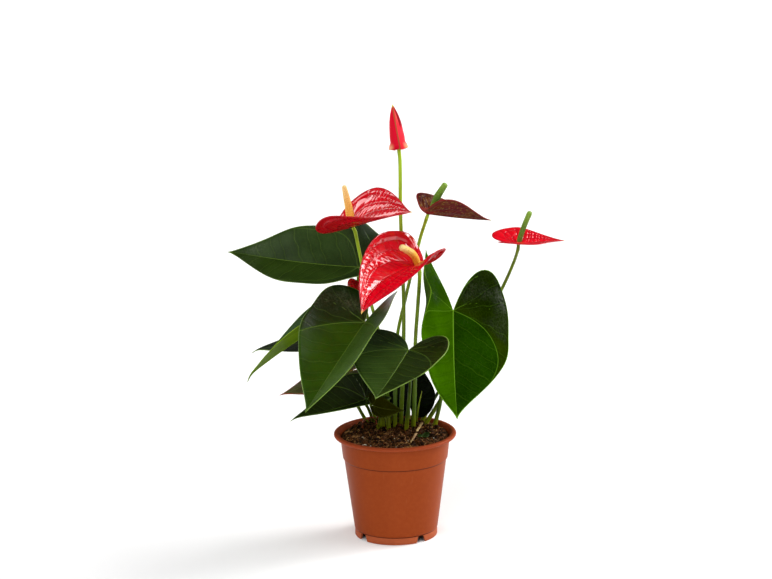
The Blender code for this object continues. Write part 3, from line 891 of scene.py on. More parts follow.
        # painted sheen: grey mixed into the green on the lobes and towards the tip
        base = graph.mix(wax_and_sheen * 0.5, base, self.painted_sheen)
        rim = 1 - margin.smooth(self.edge * 0.5, self.edge * 1.1)
        base = graph.mix(rim * (graph.grain(30.0, 1.0).smooth(0.35, 0.6) * 0.5 + 0.3), base, self.margin)
        base = graph.mix(along.smooth(0.94, 1.0) * 0.6, base, self.margin)
        ripple = graph.attribute("rib").wave() * margin.smooth(0.0, 9.0) * 0.07
        relief = ripple - midrib * 0.35 - arcs * 0.22 - ribs * 0.10
        relief = relief + graph.grain(150.0, 3.0) * 0.2 + graph.grain(900.0, 2.0) * 0.05 - net * 0.03
        graph.set(Base_Color=base, Normal=graph.bump(relief), Specular_IOR_Level=self.shine,
                  Roughness=graph.grain(60.0, 3.0) * 0.22 + (self.gloss - 0.10))
        if self.wax_and_sheen or self.tip_wax_and_sheen:
            graph.set(Coat_Weight=wax_and_sheen * 0.8, Coat_Roughness=0.24)
        return graph.material

    def underside(self, name: str) -> bpy.types.Material:
        """The material of the underside, where the veins stand out.

        Args:
            name: The material's name.

        Returns:
            The material.
        """
        graph = Graph(name)
        midrib, arcs, ribs = self.veins(graph)
        cloud = graph.grain(45.0, 3.0)
        base = graph.mix(ribs * 0.25, self.under, self.vein)
        base = graph.tint(cloud.smooth(0.7, 0.3) * 0.6, base, self.under_tint)
        base = graph.mix((midrib * 0.9).most(arcs * 0.5), base, self.margin)
        relief = midrib * 0.6 + arcs * 0.35 + ribs * 0.15 + graph.grain(200.0, 2.0) * 0.10
        graph.set(Base_Color=base, Normal=graph.bump(relief), Roughness=cloud * 0.2 + 0.40,
                  Specular_IOR_Level=self.shine * 0.5)
        return graph.material


class SpatheKind(Enum):
    """How far a spathe has come."""

    FRESH = "fresh"
    OLD = "old"


@dataclass(frozen=True)
class SpatheFinish:
    """The waxy surface of a spathe."""

    upper_side: Colour = shade_of(220, 0, 26)
    deep: Colour = shade_of(150, 0, 20)
    under: Colour = shade_of(180, 4, 24)
    margin: Colour = shade_of(176, 8, 30)
    tip: Colour = shade_of(226, 190, 90)
    kind: SpatheKind = SpatheKind.FRESH
    gloss: float = 0.12
    plump: float = 0.25  # how far the skin swells between two side veins, in millimetres
    cloud_tint: Colour = shade_of(215, 150, 160)
    patch: Colour = shade_of(92, 42, 14)
    speckle: Colour = shade_of(132, 104, 44)
    last_red: Colour = shade_of(140, 22, 30)

    def lines(self, graph: Graph) -> Signal:
        """Where the sunken veins run.

        Args:
            graph: The material's nodes.

        Returns:
            The mask.
        """
        across = abs(graph.attribute("across"))
        midrib = 1 - across.smooth(0.1, 1.1)
        arcs = 1 - abs(graph.attribute("arc")).least(abs(graph.attribute("lobe_arc"))).smooth(0.1, 0.9)
        ribs = 1 - (graph.attribute("rib").off_whole() * graph.attribute("span")).smooth(0.1, 0.8)
        return midrib.most(arcs).most(ribs * 0.7)

    def withered(self, graph: Graph, base: Signal, patches: Signal) -> Signal:
        """The colour of an old spathe: brown patches, pale speckles, and red that is left by the stalk.

        Args:
            graph: The material's nodes.
            base: Its colour without them.
            patches: The noise of the patches.

        Returns:
            The colour.
        """
        base = graph.mix(patches.smooth(0.42, 0.62), base, self.patch)
        base = graph.mix(graph.cells(330.0).smooth(0.42, 0.15) * 0.6, base, self.speckle)
        near = 1 - graph.attribute("along").smooth(0.02, 0.12)
        near = near * (1 - abs(graph.attribute("across")).smooth(5, 9)) * 0.6
        return graph.mix(near, base, self.last_red)

    def material(self, name: str, upper: bool) -> bpy.types.Material:
        """One side of the spathe.

        Args:
            name: The material's name.
            upper: Whether it is the upper side.

        Returns:
            The material.
        """
        graph = Graph(name)
        lines = self.lines(graph)
        cloud = graph.grain(48.0, 3.0)
        face = self.upper_side if upper else self.under
        base = graph.mix(lines * 0.5, face, self.deep)
        base = graph.tint(cloud.smooth(0.6, 0.35) * 0.5, base, self.cloud_tint)
        pillow = (graph.attribute("rib").off_whole() * 2).smooth(0.0, 1.0)
        inside = graph.attribute("margin").smooth(0.0, 4.0) * abs(graph.attribute("across")).smooth(1.0, 9.0)
        relief = pillow * inside * self.plump + graph.grain(260.0, 3.0) * 0.12 - lines * 0.2
        roughness = graph.grain(90.0, 2.0) * 0.08 + (self.gloss if upper else self.gloss + 0.12)
        if self.kind is SpatheKind.OLD:
            patches = graph.grain(75.0, 4.0, rough=0.65)
            base = self.withered(graph, base, patches)
            relief = relief + patches * 0.5
            roughness = roughness + 0.2
        rim = 1 - graph.attribute("margin").smooth(0.3, 1.4)
        base = graph.mix(rim * 0.8, base, self.margin)
        base = graph.mix(graph.attribute("along").smooth(0.94, 1.0), base, self.tip)
        shine = 0.2 if self.kind is SpatheKind.FRESH and upper else 0.12
        graph.set(Base_Color=base, Roughness=roughness, Normal=graph.bump(relief), Specular_IOR_Level=shine)
        if self.kind is SpatheKind.FRESH and upper:
            graph.set(Coat_Weight=0.75, Coat_Roughness=0.07)
        return graph.material


@dataclass(frozen=True)
class StalkFinish:
    """A smooth stalk that is lighter above than at its foot."""

    high: Colour = shade_of(150, 178, 36)
    low: Colour = shade_of(76, 102, 8)
    foot: Colour = shade_of(146, 156, 18)
    low_height: float = 120.0
    high_height: float = 300.0
    flush: Colour = shade_of(120, 62, 34)
    flushed: float = 0.15  # how strongly the flush shows
    streak_tint: Colour = shade_of(176, 186, 120)

    def material(self, name: str) -> bpy.types.Material:
        """The stalk's material.

        Args:
            name: The material's name.

        Returns:
            The material.
        """
        graph = Graph(name)
        height = graph.height()
        base = graph.mix(height.smooth(self.low_height, self.high_height), self.low, self.high)
        base = graph.mix(1 - height.smooth(100.0, 124.0), base, self.foot)
        streaks = graph.grain(320.0, 3.0, (1, 1, 0.06))
        base = graph.tint(streaks.smooth(0.62, 0.35) * 0.6, base, self.streak_tint)
        flecks = graph.grain(120.0, 4.0, (1, 1, 0.35))
        base = graph.mix(flecks.smooth(0.56, 0.72) * self.flushed, base, self.flush)
        relief = streaks * 0.22 + graph.grain(700.0, 2.0, (1, 1, 0.3)) * 0.04
        graph.set(Base_Color=base, Normal=graph.bump(relief), Roughness=flecks * 0.2 + 0.30,
                  Specular_IOR_Level=0.2)
        return graph.material


@dataclass(frozen=True)
class SpadixFinish:
    """The beaded surface of a spadix, in one colour at its foot and another at its tip."""

    foot: Colour
    middle: Colour
    tip: Colour
    bead: Colour
    # painted shade: the tint that darkens the hollows between the beads
    painted_hollow_shade: Colour = shade_of(200, 170, 120)

    def material(self, name: str) -> bpy.types.Material:
        """The spadix's material.

        Args:
            name: The material's name.

        Returns:
            The material.
        """
        graph = Graph(name)
        stops = [(0.0, self.foot), (0.45, self.middle), (1.0, self.tip)]
        base = graph.node("ShaderNodeValToRGB", {"stops": stops}, {0: graph.attribute("share")})
        dots = graph.cells(1150.0)
        base = graph.mix(dots.smooth(0.30, 0.10) * 0.55, base, self.bead)
        # painted shade: darker in the hollows between the beads
        base = graph.tint(dots.smooth(0.45, 0.75) * 0.45, base, self.painted_hollow_shade)
        relief = dots.smooth(0.7, 0.0) * 0.28
        graph.set(Base_Color=base, Normal=graph.bump(relief), Roughness=dots * 0.2 + 0.42)
        return graph.material


@dataclass(frozen=True)
class BudFinish:
    """The rolled spathe: two reds, a tan seam, a pale flared foot and a yellow tip."""

    left: Colour = shade_of(206, 6, 40)
    right: Colour = shade_of(248, 50, 66)
    seam: Colour = shade_of(150, 92, 50)
    flare: Colour = shade_of(232, 172, 128)
    tip: Colour = shade_of(222, 206, 96)
    overlap: Colour = shade_of(150, 6, 30)
    joint: Colour = shade_of(172, 88, 44)
    streak_tint: Colour = shade_of(225, 150, 150)

    def material(self, name: str) -> bpy.types.Material:
        """The bud's material.

        Args:
            name: The material's name.

        Returns:
            The material.
        """
        graph = Graph(name)
        seam, rise = graph.attribute("seam"), graph.attribute("share")
        base = graph.mix(seam.smooth(-0.8, 0.8), self.left, self.right)
        base = graph.mix((1 - abs(seam).smooth(0.25, 0.9)) * 0.9, base, self.seam)
        over = graph.attribute("over")
        foot = graph.mix(rise.smooth(0.0, 0.05), self.joint, self.flare)
        ears = seam.smooth(2.5, 4.8).most((seam * -1).smooth(4.5, 8.0))
        base = graph.mix((1 - rise.smooth(0.05, 0.18)) * ears, base, foot)
        base = graph.mix(seam.smooth(0.5, 3.0) * rise.smooth(0.55, 0.85) * 0.6, base, self.flare)
        base = graph.mix(over.smooth(-0.4, 0.4) * rise.smooth(0.40, 0.58), base, self.overlap)
        base = graph.mix(rise.smooth(0.93, 0.985), base, self.tip)
        streaks = graph.grain(240.0, 3.0, (1, 1, 0.12))
        base = graph.tint(streaks.smooth(0.6, 0.35) * 0.35, base, self.streak_tint)
        graph.set(Base_Color=base, Roughness=streaks * 0.15 + 0.28, Normal=graph.bump(streaks * 0.2),
                  Specular_IOR_Level=0.08)
        return graph.material


@dataclass(frozen=True)
class ClayPlasticFinish:
    """Satin terracotta-coloured plastic, soft banding of painted reflection, painted crease shade and fine
    scuffs.
    """

    body: Colour = shade_of(146, 64, 26)
    # painted reflection: the darker tone of the soft vertical banding
    deep: Colour = shade_of(137, 59, 23)
    rim: Colour = shade_of(150, 66, 36)
    # painted shade: the dark of the creases under the shoulder and above the foot
    line: Colour = shade_of(62, 22, 12)
    foot: Colour = shade_of(186, 104, 72)
    scuff: Colour = shade_of(200, 130, 92)
    dust_tint: Colour = shade_of(200, 170, 150)
    painted_crease_shade_heights: tuple[float, float] = (78.2, 7.3)
    foot_height: float = 7.2
    rim_height: float = 99.0

    def material(self, name: str) -> bpy.types.Material:
        """The pot's material.

        Args:
            name: The material's name.

        Returns:
            The material.
        """
        graph = Graph(name)
        height = graph.height()
        # painted reflection: soft vertical banding between the body and the deep tone
        painted_reflection_bands = graph.grain(14.0, 2.0, (1, 1, 0.12))
        base = graph.mix(painted_reflection_bands.smooth(0.36, 0.62), self.deep, self.body)
        base = graph.mix(height.smooth(self.rim_height, self.rim_height + 2.5), base, self.rim)
        # painted shade: dark lines in the creases under the shoulder and above the foot
        for level in self.painted_crease_shade_heights:
            base = graph.mix((1 - abs(height - level).smooth(0.2, 0.8)) * 0.85, base, self.line)
        base = graph.mix((1 - height.smooth(6.4, self.foot_height)) * 0.4, base, self.foot)
        dust = graph.grain(260.0, 5.0, rough=0.7)
        base = graph.tint(dust.smooth(0.62, 0.42) * 0.16, base, self.dust_tint)
        scuffs = graph.grain(420.0, 3.0, (1, 1, 0.08))
        base = graph.mix(scuffs.smooth(0.64, 0.76) * 0.05, base, self.scuff)
        relief = graph.grain(1500.0, 2.0) * 0.02 + scuffs * 0.012
        graph.set(Base_Color=base, Normal=graph.bump(relief), Roughness=dust * 0.2 + 0.30,
                  Specular_IOR_Level=0.04)
        return graph.material


@dataclass(frozen=True)
class PeatFinish:
    """Crumbly peat: hollows nearly black, partly its own tone and partly painted shade; brown crumbs and a
    few tan ones.
    """

    dark: Colour = shade_of(30, 14, 5)
    brown: Colour = shade_of(108, 62, 28)
    light: Colour = shade_of(168, 112, 62)

    def material(self, name: str) -> bpy.types.Material:
        """The peat's material.

        Args:
            name: The material's name.

        Returns:
            The material.
        """
        graph = Graph(name)
        lumps = graph.grain(210.0, 5.0, rough=0.75)
        # partly the peat's own dark tone and partly painted shade: darker where the relief is low
        base = graph.mix(lumps.smooth(0.42, 0.66), self.dark, self.brown)
        base = graph.mix(graph.grain(300.0, 4.0).smooth(0.60, 0.70) * 0.7, base, self.light)
        relief = lumps * 1.1 + graph.grain(1400.0, 3.0) * 0.4
        graph.set(Base_Color=base, Normal=graph.bump(relief), Roughness=lumps * 0.1 + 0.82,
                  Specular_IOR_Level=0.2)
        return graph.material


@dataclass(frozen=True)
class DryFinish:
    """Dead, fibrous plant matter."""

    pale: Colour
    dark: Colour

    def material(self, name: str) -> bpy.types.Material:
        """The dry piece's material.

        Args:
            name: The material's name.

        Returns:
            The material.
        """
        graph = Graph(name)
        fibres = graph.grain(360.0, 4.0, (0.5, 0.5, 1))
        base = graph.mix(fibres.smooth(0.35, 0.65), self.dark, self.pale)
        graph.set(Base_Color=base, Normal=graph.bump(fibres * 0.6), Roughness=fibres * 0.2 + 0.6)
        return graph.material


class VeinPlan(Enum):
    """Where the curved main veins of a half blade run.

    Each vein is a chain of Bezier curves. Its points are shares of the length ahead of the stalk, or of the
    lobe behind it, and shares of the half width.
    """

    SWEPT = (
        ((0, 0), (0.04, 0.35), (0.09, 0.70), (0.28, 0.74), (0.50, 0.78), (0.76, 0.32), (0.97, 0.02)),
        ((0, 0), (-0.35, 0.30), (-0.40, 0.62), (0.06, 0.94)),
        ((0, 0), (-0.30, 0.04), (-0.62, 0.14), (-0.85, 0.42)),
    )
    SHORT = (
        ((0, 0), (0.04, 0.30), (0.13, 0.66), (0.35, 0.84)),
        ((0, 0), (-0.20, 0.22), (-0.30, 0.62), (0.00, 0.93)),
        ((0, 0), (-0.35, 0.04), (-0.70, 0.10), (-0.88, 0.38)),
    )
    SPATHE = (
        ((0, 0), (0.02, 0.18), (0.08, 0.30), (0.28, 0.31), (0.52, 0.32), (0.76, 0.14), (0.96, 0.02)),
        ((0, 0), (-0.25, 0.25), (-0.20, 0.55), (0.15, 0.57), (0.45, 0.58), (0.74, 0.28), (0.97, 0.03)),
        ((0, 0), (-0.55, 0.22), (-0.70, 0.78), (0.08, 0.80), (0.42, 0.81), (0.75, 0.40), (0.975, 0.045)),
    )


@dataclass
class BladeMaker:
    """Makes the fine mesh of a leaf's or a spathe's blade."""

    blade: Blade
    thickness: float
    plan: VeinPlan
    rays: int = 56
    rings: int = 18
    rib_gap: float = 13.0
    relief: float = 0.0  # how far the blade swells between two side veins
    swell: float = 0.0  # how far it swells between two main veins
    swell_width: float = 7.0  # how far from a main vein it is fully swollen
    lean: float = 58.0  # angle between a side vein and the midrib
    lobe_step: float = 24.0  # angle between two side veins of a lobe

    def main_veins(self, side: int) -> tuple[np.ndarray, ...]:
        """The curved veins of one half, flat, from the stalk outwards.

        Args:
            side: 0 for the left half, 1 for the right.

        Returns:
            One line for each vein: one ahead and two into the lobe.
        """
        length, lobe, half = self.blade.length, self.blade.lobe, self.blade.widths[side]
        veins = []
        for vein in self.plan.value:
            points = [(along * (length if along > 0 else lobe), across * half) for along, across in vein]
            line = chained([points[place:place + 4] for place in range(0, len(points) - 1, 3)])
            veins.append(np.array([(point.x, point.y) for point in line[::3]]))
        return tuple(veins)

    def side_veins(self, flat: np.ndarray) -> tuple[np.ndarray, np.ndarray]:
        """Where flat points lie among the side veins.

        Args:
            flat: (forward, sideways) rows.

        Returns:
            The number of veins passed, whole on each vein, and the distance between two veins.
        """
        lean, step = math.radians(self.lean), math.radians(self.lobe_step)
        along, across = flat[:, 0], flat[:, 1]
        forward = along - across / math.tan(lean) + 0.0035 * across ** 2
        angle = np.arctan2(across, along)
        radius = np.hypot(along, across)
        ahead = forward > 0
        number = np.where(ahead, forward / self.rib_gap, (lean - angle) / step)
        number = number + 0.16 * np.sin(2.3 * number) + 0.05 * np.sin(across / 3.1 + along / 7.0)
        span = np.where(ahead, self.rib_gap * math.sin(lean), radius * step)
        return number, span

    def height(self, data: dict[str, np.ndarray]) -> np.ndarray:
        """How far each point stands out between the sunken veins.

        Args:
            data: The points' vein data.

        Returns:
            Heights in millimetres.
        """
        pillow = np.abs(np.sin(np.pi * data["rib"])) ** 0.8
        inside = np.clip(data["margin"] / 6, 0, 1) * np.clip(np.abs(data["across"]) / 6, 0, 1)
        outer = 0.25 + 0.75 * np.clip(3 - data["margin"] / 4, 0, 1)
        height = self.relief * pillow * inside * outer * np.clip(data["span"] / 6, 0, 1)
        nearest = np.minimum(np.abs(data["across"]), np.minimum(np.abs(data["arc"]), data["lobe_arc"]))
        swell = np.clip(nearest / self.swell_width, 0, 1)
        swell = swell * (2 - swell) * np.clip(data["margin"] / 5, 0, 1)
        return height + self.swell * swell - 0.25 * self.swell * np.exp(-(nearest / 1.0) ** 2)

    def measured(self, flat: np.ndarray, side: int) -> dict[str, np.ndarray]:
        """The vein data of the points of one half.

        Args:
            flat: (forward, sideways) rows.
            side: 0 for the left half, 1 for the right.

        Returns:
            One array for each name.
        """
        arc, *other_arcs = [distance_to(flat, vein) for vein in self.main_veins(side)]
        edge = np.array(self.blade.outline(side, 90))
        number, span = self.side_veins(flat)
        return {
            "along": flat[:, 0] / self.blade.length,
            "across": flat[:, 1] * (1 if side == 0 else -1),
            "arc": arc,
            "lobe_arc": np.minimum.reduce([np.abs(other) for other in other_arcs]),
            "rib": number,
            "span": span,
            "margin": np.abs(distance_to(flat, edge)),
        }

    def build(self, finishes: Sequence[bpy.types.Material], slot: str) -> bpy.types.Object:
        """Make the blade.

        Args:
            finishes: The materials of its upper side and its underside.
            slot: The name of its material slot.

        Returns:
            The piece.
        """
        outlines = [self.blade.outline(side, self.rays + 1)[:-1] for side in (0, 1)]
        shape = bmesh.new()
        bmesh.ops.create_grid(shape, x_segments=2 * self.rays, y_segments=self.rings, size=1.0)
        names = ("along", "across", "arc", "lobe_arc", "rib", "span", "margin")
        layers = {name: shape.verts.layers.float.new(name) for name in names}
        rows = {0: [], 1: []}
        for vertex in shape.verts:
            ray = round(vertex.co.x * self.rays)
            side = 0 if ray >= 0 else 1
            reach = ((vertex.co.y + 1) / 2) ** 0.9
            along, across = outlines[side][abs(ray)]
            rows[side].append((vertex, along * reach, across * reach))
        heights = {}
        for side, found in rows.items():
            data = self.measured(np.array([(along, across) for _, along, across in found]), side)
            raised = self.height(data)
            for index, (vertex, along, across) in enumerate(found):
                for name, layer in layers.items():
                    vertex[layer] = data[name][index]
                heights[vertex] = raised[index]
                vertex.co = self.blade.place(along, across, side) * MM
        bmesh.ops.recalc_face_normals(shape, faces=shape.faces)
        shape.normal_update()
        foot = Vector(self.blade.foot)
        middle = min(shape.faces, key=lambda face: (face.calc_center_median() / MM - foot).length)
        if middle.normal.dot(self.blade.directions()[2]) < 0:
            bmesh.ops.reverse_faces(shape, faces=shape.faces)
        shape.normal_update()
        if self.relief or self.swell:
            for vertex, height in heights.items():
                vertex.co += vertex.normal * height * MM
        bmesh.ops.remove_doubles(shape, verts=shape.verts, dist=MERGE)
        piece = finished(self.blade.name, shape, finishes, slot, self.blade.name)
        solid = piece.modifiers.new("Thickness", "SOLIDIFY")
        solid.thickness = self.thickness * MM
        solid.offset = 0.0
        solid.material_offset = 1
        solid.use_even_offset = False
        return piece


@dataclass
class StalkMaker:
    """Makes a leaf or flower stalk, with the swollen knee that carries a leaf."""

    finish: bpy.types.Material
    sides: int = 16
    step: float = 3.0
    knee: float = 1.35
    knee_length: float = 9.0

    def ends(self, blade: Blade, stalk: Stalk, thickness: float) -> list[Vector]:
        """The last two points of a stalk's path, below its blade's foot.

        Args:
            blade: The leaf or spathe that it carries.
            stalk: The stalk.
            thickness: The blade's thickness.

        Returns:
            A point below the foot, and one that touches the underside.
        """
        down = -blade.directions()[2]
        foot = Vector(blade.foot)
        hang = math.sin(math.radians(max(0, -min(blade.fold))))
        clear = thickness / 2 + (0.1 + hang) * stalk.radius
        return [foot + down * max(5, 0.06 * blade.length), foot + down * clear]

    def build(self, stalk: Stalk, ends: Sequence[Vector], share: float = 0.45) -> bpy.types.Object:
        """Make the stalk.

        Args:
            stalk: Its foot, path and radii.
            ends: The last points of its path.
            share: How much of its path the thicker foot takes up.

        Returns:
            The piece.
        """
        x, y = stalk.base
        ground = soil_height(x, y)
        path = smooth_path([(x, y, ground + 1.5), *stalk.through, *ends], self.step)
        path = [Vector((x, y, ground - 10)), Vector((x, y, ground - 3))] + path
        lengths = walked(path)
        total = lengths[-1]
        half = self.knee_length / 2
        radii = []
        for length in lengths:
            radius = stalk.radius + (stalk.base_radius - stalk.radius) * max(0.0, 1 - length / total / share)
            knee = max(0.0, 1 - abs(total - length - half) / half)
            radii.append(radius * (1 + (self.knee - 1) * knee * knee * (3 - 2 * knee)))
        shape = bmesh.new()
        tube(shape, path, radii, self.sides, lambda share, turn: 1 + 0.035 * math.cos(10 * math.pi * turn))
        return finished(stalk.name, shape, [self.finish], "stalk_green", stalk.name, sharp=60)


@dataclass
class Foliage:
    """The twelve leaves and their stalks."""

    finishes: dict[str, LeafFinish]
    plain: LeafFinish
    thickness: float = 0.66
    dark: tuple[str, ...] = ("leaf_upper_left", "leaf_back_low_left", "leaf_lower_left", "leaf_upright",
                             "leaf_back_left", "leaf_back_right")
    swept: tuple[str, ...] = ("leaf_right", "leaf_upper_left", "leaf_back_right")
    lit_height: float = 205.0  # a leaf whose foot is above this has a stalk in the light
    rib_share: float = 0.105  # gap between two side veins, as a share of the leaf's length
    relief: float = 0.12
    swell: float = 0.2

    def build(self) -> None:
        """Make every leaf with its stalk."""
        lit = StalkMaker(StalkFinish().material("leaf_stalk_green"))
        # painted shade: a darker copy of the stalk finish for the stalks of low leaves, which stand in the
        # shade
        dark = StalkFinish(high=shade_of(104, 134, 24), low=shade_of(66, 90, 6), flushed=0.3)
        shaded = StalkMaker(dark.material("leaf_stalk_dark"))
        for blade, stalk in zip(LEAVES, LEAF_STALKS):
            finish = self.finishes.get(blade.name, self.plain)
            sides = [finish.upper(blade.name + "_upper"), finish.underside(blade.name + "_under")]
            slot = "leaf_dark_green" if blade.name in self.dark else "leaf_green"
            plan = VeinPlan.SWEPT if blade.name in self.swept else VeinPlan.SHORT
            maker = BladeMaker(blade, self.thickness, plan, rib_gap=self.rib_share * blade.length,
                               relief=self.relief, swell=self.swell)
            maker.build(sides, slot)
            stalks = lit if blade.foot[2] > self.lit_height else shaded
            stalks.build(stalk, stalks.ends(blade, stalk, self.thickness))


@dataclass
class SpadixMaker:
    """Makes a spadix: a finger set with beads in slanting rows."""

    finish: bpy.types.Material
    slot: str
    sides: int = 60
    step: float = 0.4
    rows: float = 11.0  # beads round it
    bead: float = 0.07  # how far a bead stands out, as a share of the radius
    round_from: float = 0.93  # where the round tip starts, as a share of the length
    tip_radius: float = 0.12

    def build(self, spadix: Spadix, blade: Blade) -> bpy.types.Object:
        """Make the spadix.

        Args:
            spadix: Its path and profile.
            blade: The spathe that it stands on.

        Returns:
            The piece.
        """
        start = Vector(blade.foot) + blade.directions()[2] * 0.4
        path = smooth_path((start, spadix.through, spadix.tip), self.step)
        lengths = walked(path)
        length = lengths[-1]
        radii = [self.radius(spadix, place / length) for place in lengths]
        pitch = FULL_TURN * max(radii) / self.rows

        def beads(share: float, turn: float) -> float:
            """Factor on the radius at a share of the length and of a turn."""
            row, column = share * length / pitch, self.rows * turn * 2
            return 1 + self.bead * math.cos(math.pi * (column + row)) * math.cos(math.pi * (column - row))

        shape = bmesh.new()
        tube(shape, path, radii, self.sides, beads)
        return finished(spadix.name, shape, [self.finish], self.slot, spadix.name)

    def radius(self, spadix: Spadix, share: float) -> float:
        """The radius of the spadix, with a round tip.

        Args:
            spadix: Its path and profile.
            share: The place, as a share of its length.

        Returns:
            The radius there.
        """
        plain = between(spadix.profile, min(share, self.round_from))
        if share <= self.round_from:
            return plain
        past = (share - self.round_from) / (1 - self.round_from)
        return max(self.tip_radius, plain * math.sqrt(max(0.0, 1 - past ** 2)))


@dataclass
class Flowers:
    """The four open flowers and the young one."""

    thickness: float = 0.76
    red: SpatheFinish = field(default_factory=SpatheFinish)
    brown: SpatheFinish = field(default_factory=lambda: SpatheFinish(
        upper_side=shade_of(66, 16, 10), deep=shade_of(44, 8, 14), under=shade_of(96, 22, 26),
        margin=shade_of(128, 24, 26), tip=shade_of(150, 150, 60), kind=SpatheKind.OLD, gloss=0.3))
    rays: int = 140
    rings: int = 40
    rib_gap: float = 7.2  # on a spathe 100 mm long, as the next three are
    relief: float = 1.1
    swell: float = 0.85
    swell_width: float = 6.0
    gold: SpadixFinish = field(default_factory=lambda: SpadixFinish(
        shade_of(250, 182, 14), shade_of(255, 208, 66), shade_of(255, 236, 160), shade_of(255, 236, 160)))
    peach: SpadixFinish = field(default_factory=lambda: SpadixFinish(
        shade_of(255, 210, 50), shade_of(255, 214, 100), shade_of(255, 222, 150), shade_of(255, 230, 170)))
    green: SpadixFinish = field(default_factory=lambda: SpadixFinish(
        shade_of(104, 138, 40), shade_of(84, 126, 22), shade_of(128, 166, 48), shade_of(196, 216, 150)))

    def build(self) -> None:
        """Make every flower."""
        fresh = StalkFinish(high=shade_of(158, 186, 44), low=shade_of(86, 116, 12))
        olive = StalkFinish(high=shade_of(112, 126, 24), low=shade_of(84, 108, 12), flushed=0.3)
        stalks, olive_stalks = [
            StalkMaker(finish.material(name), knee=1.12, knee_length=12.0)
            for finish, name in ((fresh, "flower_stalk_green"), (olive, "flower_stalk_olive"))]
        looks = {"left": self.red, "centre": self.red, "brown": self.brown, "right": self.red}
        beads = {"left": self.peach, "centre": self.gold, "brown": self.green, "right": self.green}
        for blade, stalk, spadix in zip(SPATHES, FLOWER_STALKS, SPADICES):
            place = blade.name.split("_")[1]
            look = looks[place]
            old = look.kind is SpatheKind.OLD
            sides = [look.material(f"{blade.name}_upper", True), look.material(f"{blade.name}_under", False)]
            size = blade.length / 100
            maker = BladeMaker(blade, self.thickness, VeinPlan.SPATHE, self.rays, self.rings,
                               rib_gap=self.rib_gap * size, relief=self.relief * size,
                               swell=self.swell * size, swell_width=self.swell_width * size)
            maker.build(sides, "spathe_brown" if old else "spathe_red")
            use = olive_stalks if place == "right" else stalks
            use.build(stalk, use.ends(blade, stalk, self.thickness))
            slot = "spadix_yellow" if place in ("left", "centre") else "spadix_green"
            SpadixMaker(beads[place].material(spadix.name), slot).build(spadix, blade)
        sides = [self.red.material("young_upper", True), self.red.material("young_under", False)]
        maker = BladeMaker(YOUNG_SPATHE, self.thickness, VeinPlan.SPATHE, rays=40, rings=12, rib_gap=4.0,
                           relief=0.2)
        maker.build(sides, "spathe_red")
        stalks.build(YOUNG_STALK, stalks.ends(YOUNG_SPATHE, YOUNG_STALK, self.thickness))


@dataclass
class Bud:
    """The topmost flower, its spathe still rolled into a point with a flared foot."""

    profile: tuple[tuple[float, float], ...] = (
        (0.0, 2.2), (0.03, 5.6), (0.10, 7.0), (0.25, 7.3), (0.45, 6.5), (0.62, 5.5), (0.78, 3.9), (0.90, 2.0),
        (0.97, 0.8), (1.0, 0.25))
    sides: int = 64
    steps: int = 60
    flare_end: float = 0.17  # where the flare of the foot ends, as a share of the height
    flare: float = 0.95  # how far its ears stand out, as a share of the radius
    lap: float = 0.05  # how far an overlap stands out, as a share of the radius
    lap_start: float = 0.45  # where the upper overlap starts, as a share of the height

    def build(self) -> None:
        """Make the rolled spathe and its stalk."""
        base, tip = Vector(BUD_BASE), Vector(BUD_TIP)
        axis = (tip - base).normalized()
        across = axis.cross(Vector((0, 1, 0))).normalized()
        depth = axis.cross(across)
        shape = bmesh.new()
        names = ("share", "seam", "over")
        layers = {name: shape.verts.layers.float.new(name) for name in names}
        rings = []
        for step in range(self.steps + 1):
            share = (step / self.steps) ** 1.15
            radius = between(self.profile, share)
            middle = base.lerp(tip, share)
            ring, edges = ring_of(shape, self.sides)
            for number, vertex in enumerate(ring):
                angle = FULL_TURN * number / self.sides
                swell, seam, over = self.form(angle, share, radius)
                offset = (across * math.cos(angle) + depth * 0.9 * math.sin(angle)) * (radius * swell)
                sag = max(0.0, swell - 1.06) * (1 - share / 0.2) if share < 0.2 else 0.0
                vertex.co = (middle + offset - axis * sag) * MM
                for name, value in zip(names, (share, seam, over)):
                    vertex[layers[name]] = value
            rings.append(edges)
        for lower, upper in zip(rings, rings[1:]):
            bmesh.ops.bridge_loops(shape, edges=lower + upper)
        bmesh.ops.holes_fill(shape, edges=rings[0] + rings[-1], sides=0)
        bmesh.ops.recalc_face_normals(shape, faces=shape.faces)
        finished("bud_spathe", shape, [BudFinish().material("bud_red")], "spathe_red", "bud_spathe")
        stalk = StalkFinish(high=shade_of(160, 190, 40), low=shade_of(110, 136, 24), low_height=200)
        maker = StalkMaker(stalk.material("bud_stalk_green"), knee=1.05)
        maker.build(BUD_STALK, [Vector(BUD_BASE) + axis * 0.3])

    def form(self, angle: float, share: float, radius: float) -> tuple[float, float, float]:
        """The roll's shape in one direction.

        Args:
            angle: Direction round the bud's axis, in radians.
            share: Height as a share of the bud's.
            radius: Its plain radius there.

        Returns:
            Factor on the radius, distance from the seam, and distance past the upper edge.
        """
        facing = math.pi / 2
        seam_at = facing + 0.22 - 0.25 * share
        apart = math.remainder(angle - seam_at, FULL_TURN)
        swell = 1 + self.lap * math.exp(-max(0.0, apart) * 3.0) * (apart > 0)
        swell -= 0.06 * math.exp(-(apart / 0.12) ** 2)
        flare = max(0.0, 1 - share / self.flare_end)
        ears = max(0.0, math.cos(angle - 0.15)) ** 4 + max(0.0, math.cos(angle - math.pi + 0.35)) ** 3
        swell += self.flare * flare ** 1.5 * ears
        over_at = facing + 0.95 - 0.5 * share
        past = math.remainder(angle - over_at, FULL_TURN)
        if 0 < past < 1.2 and share > self.lap_start:
            swell += self.lap * min(1.0, (share - self.lap_start) / 0.1) * math.sin(math.pi * past / 1.2)
        return swell, apart * radius, past * radius if past < 1.4 else -5.0


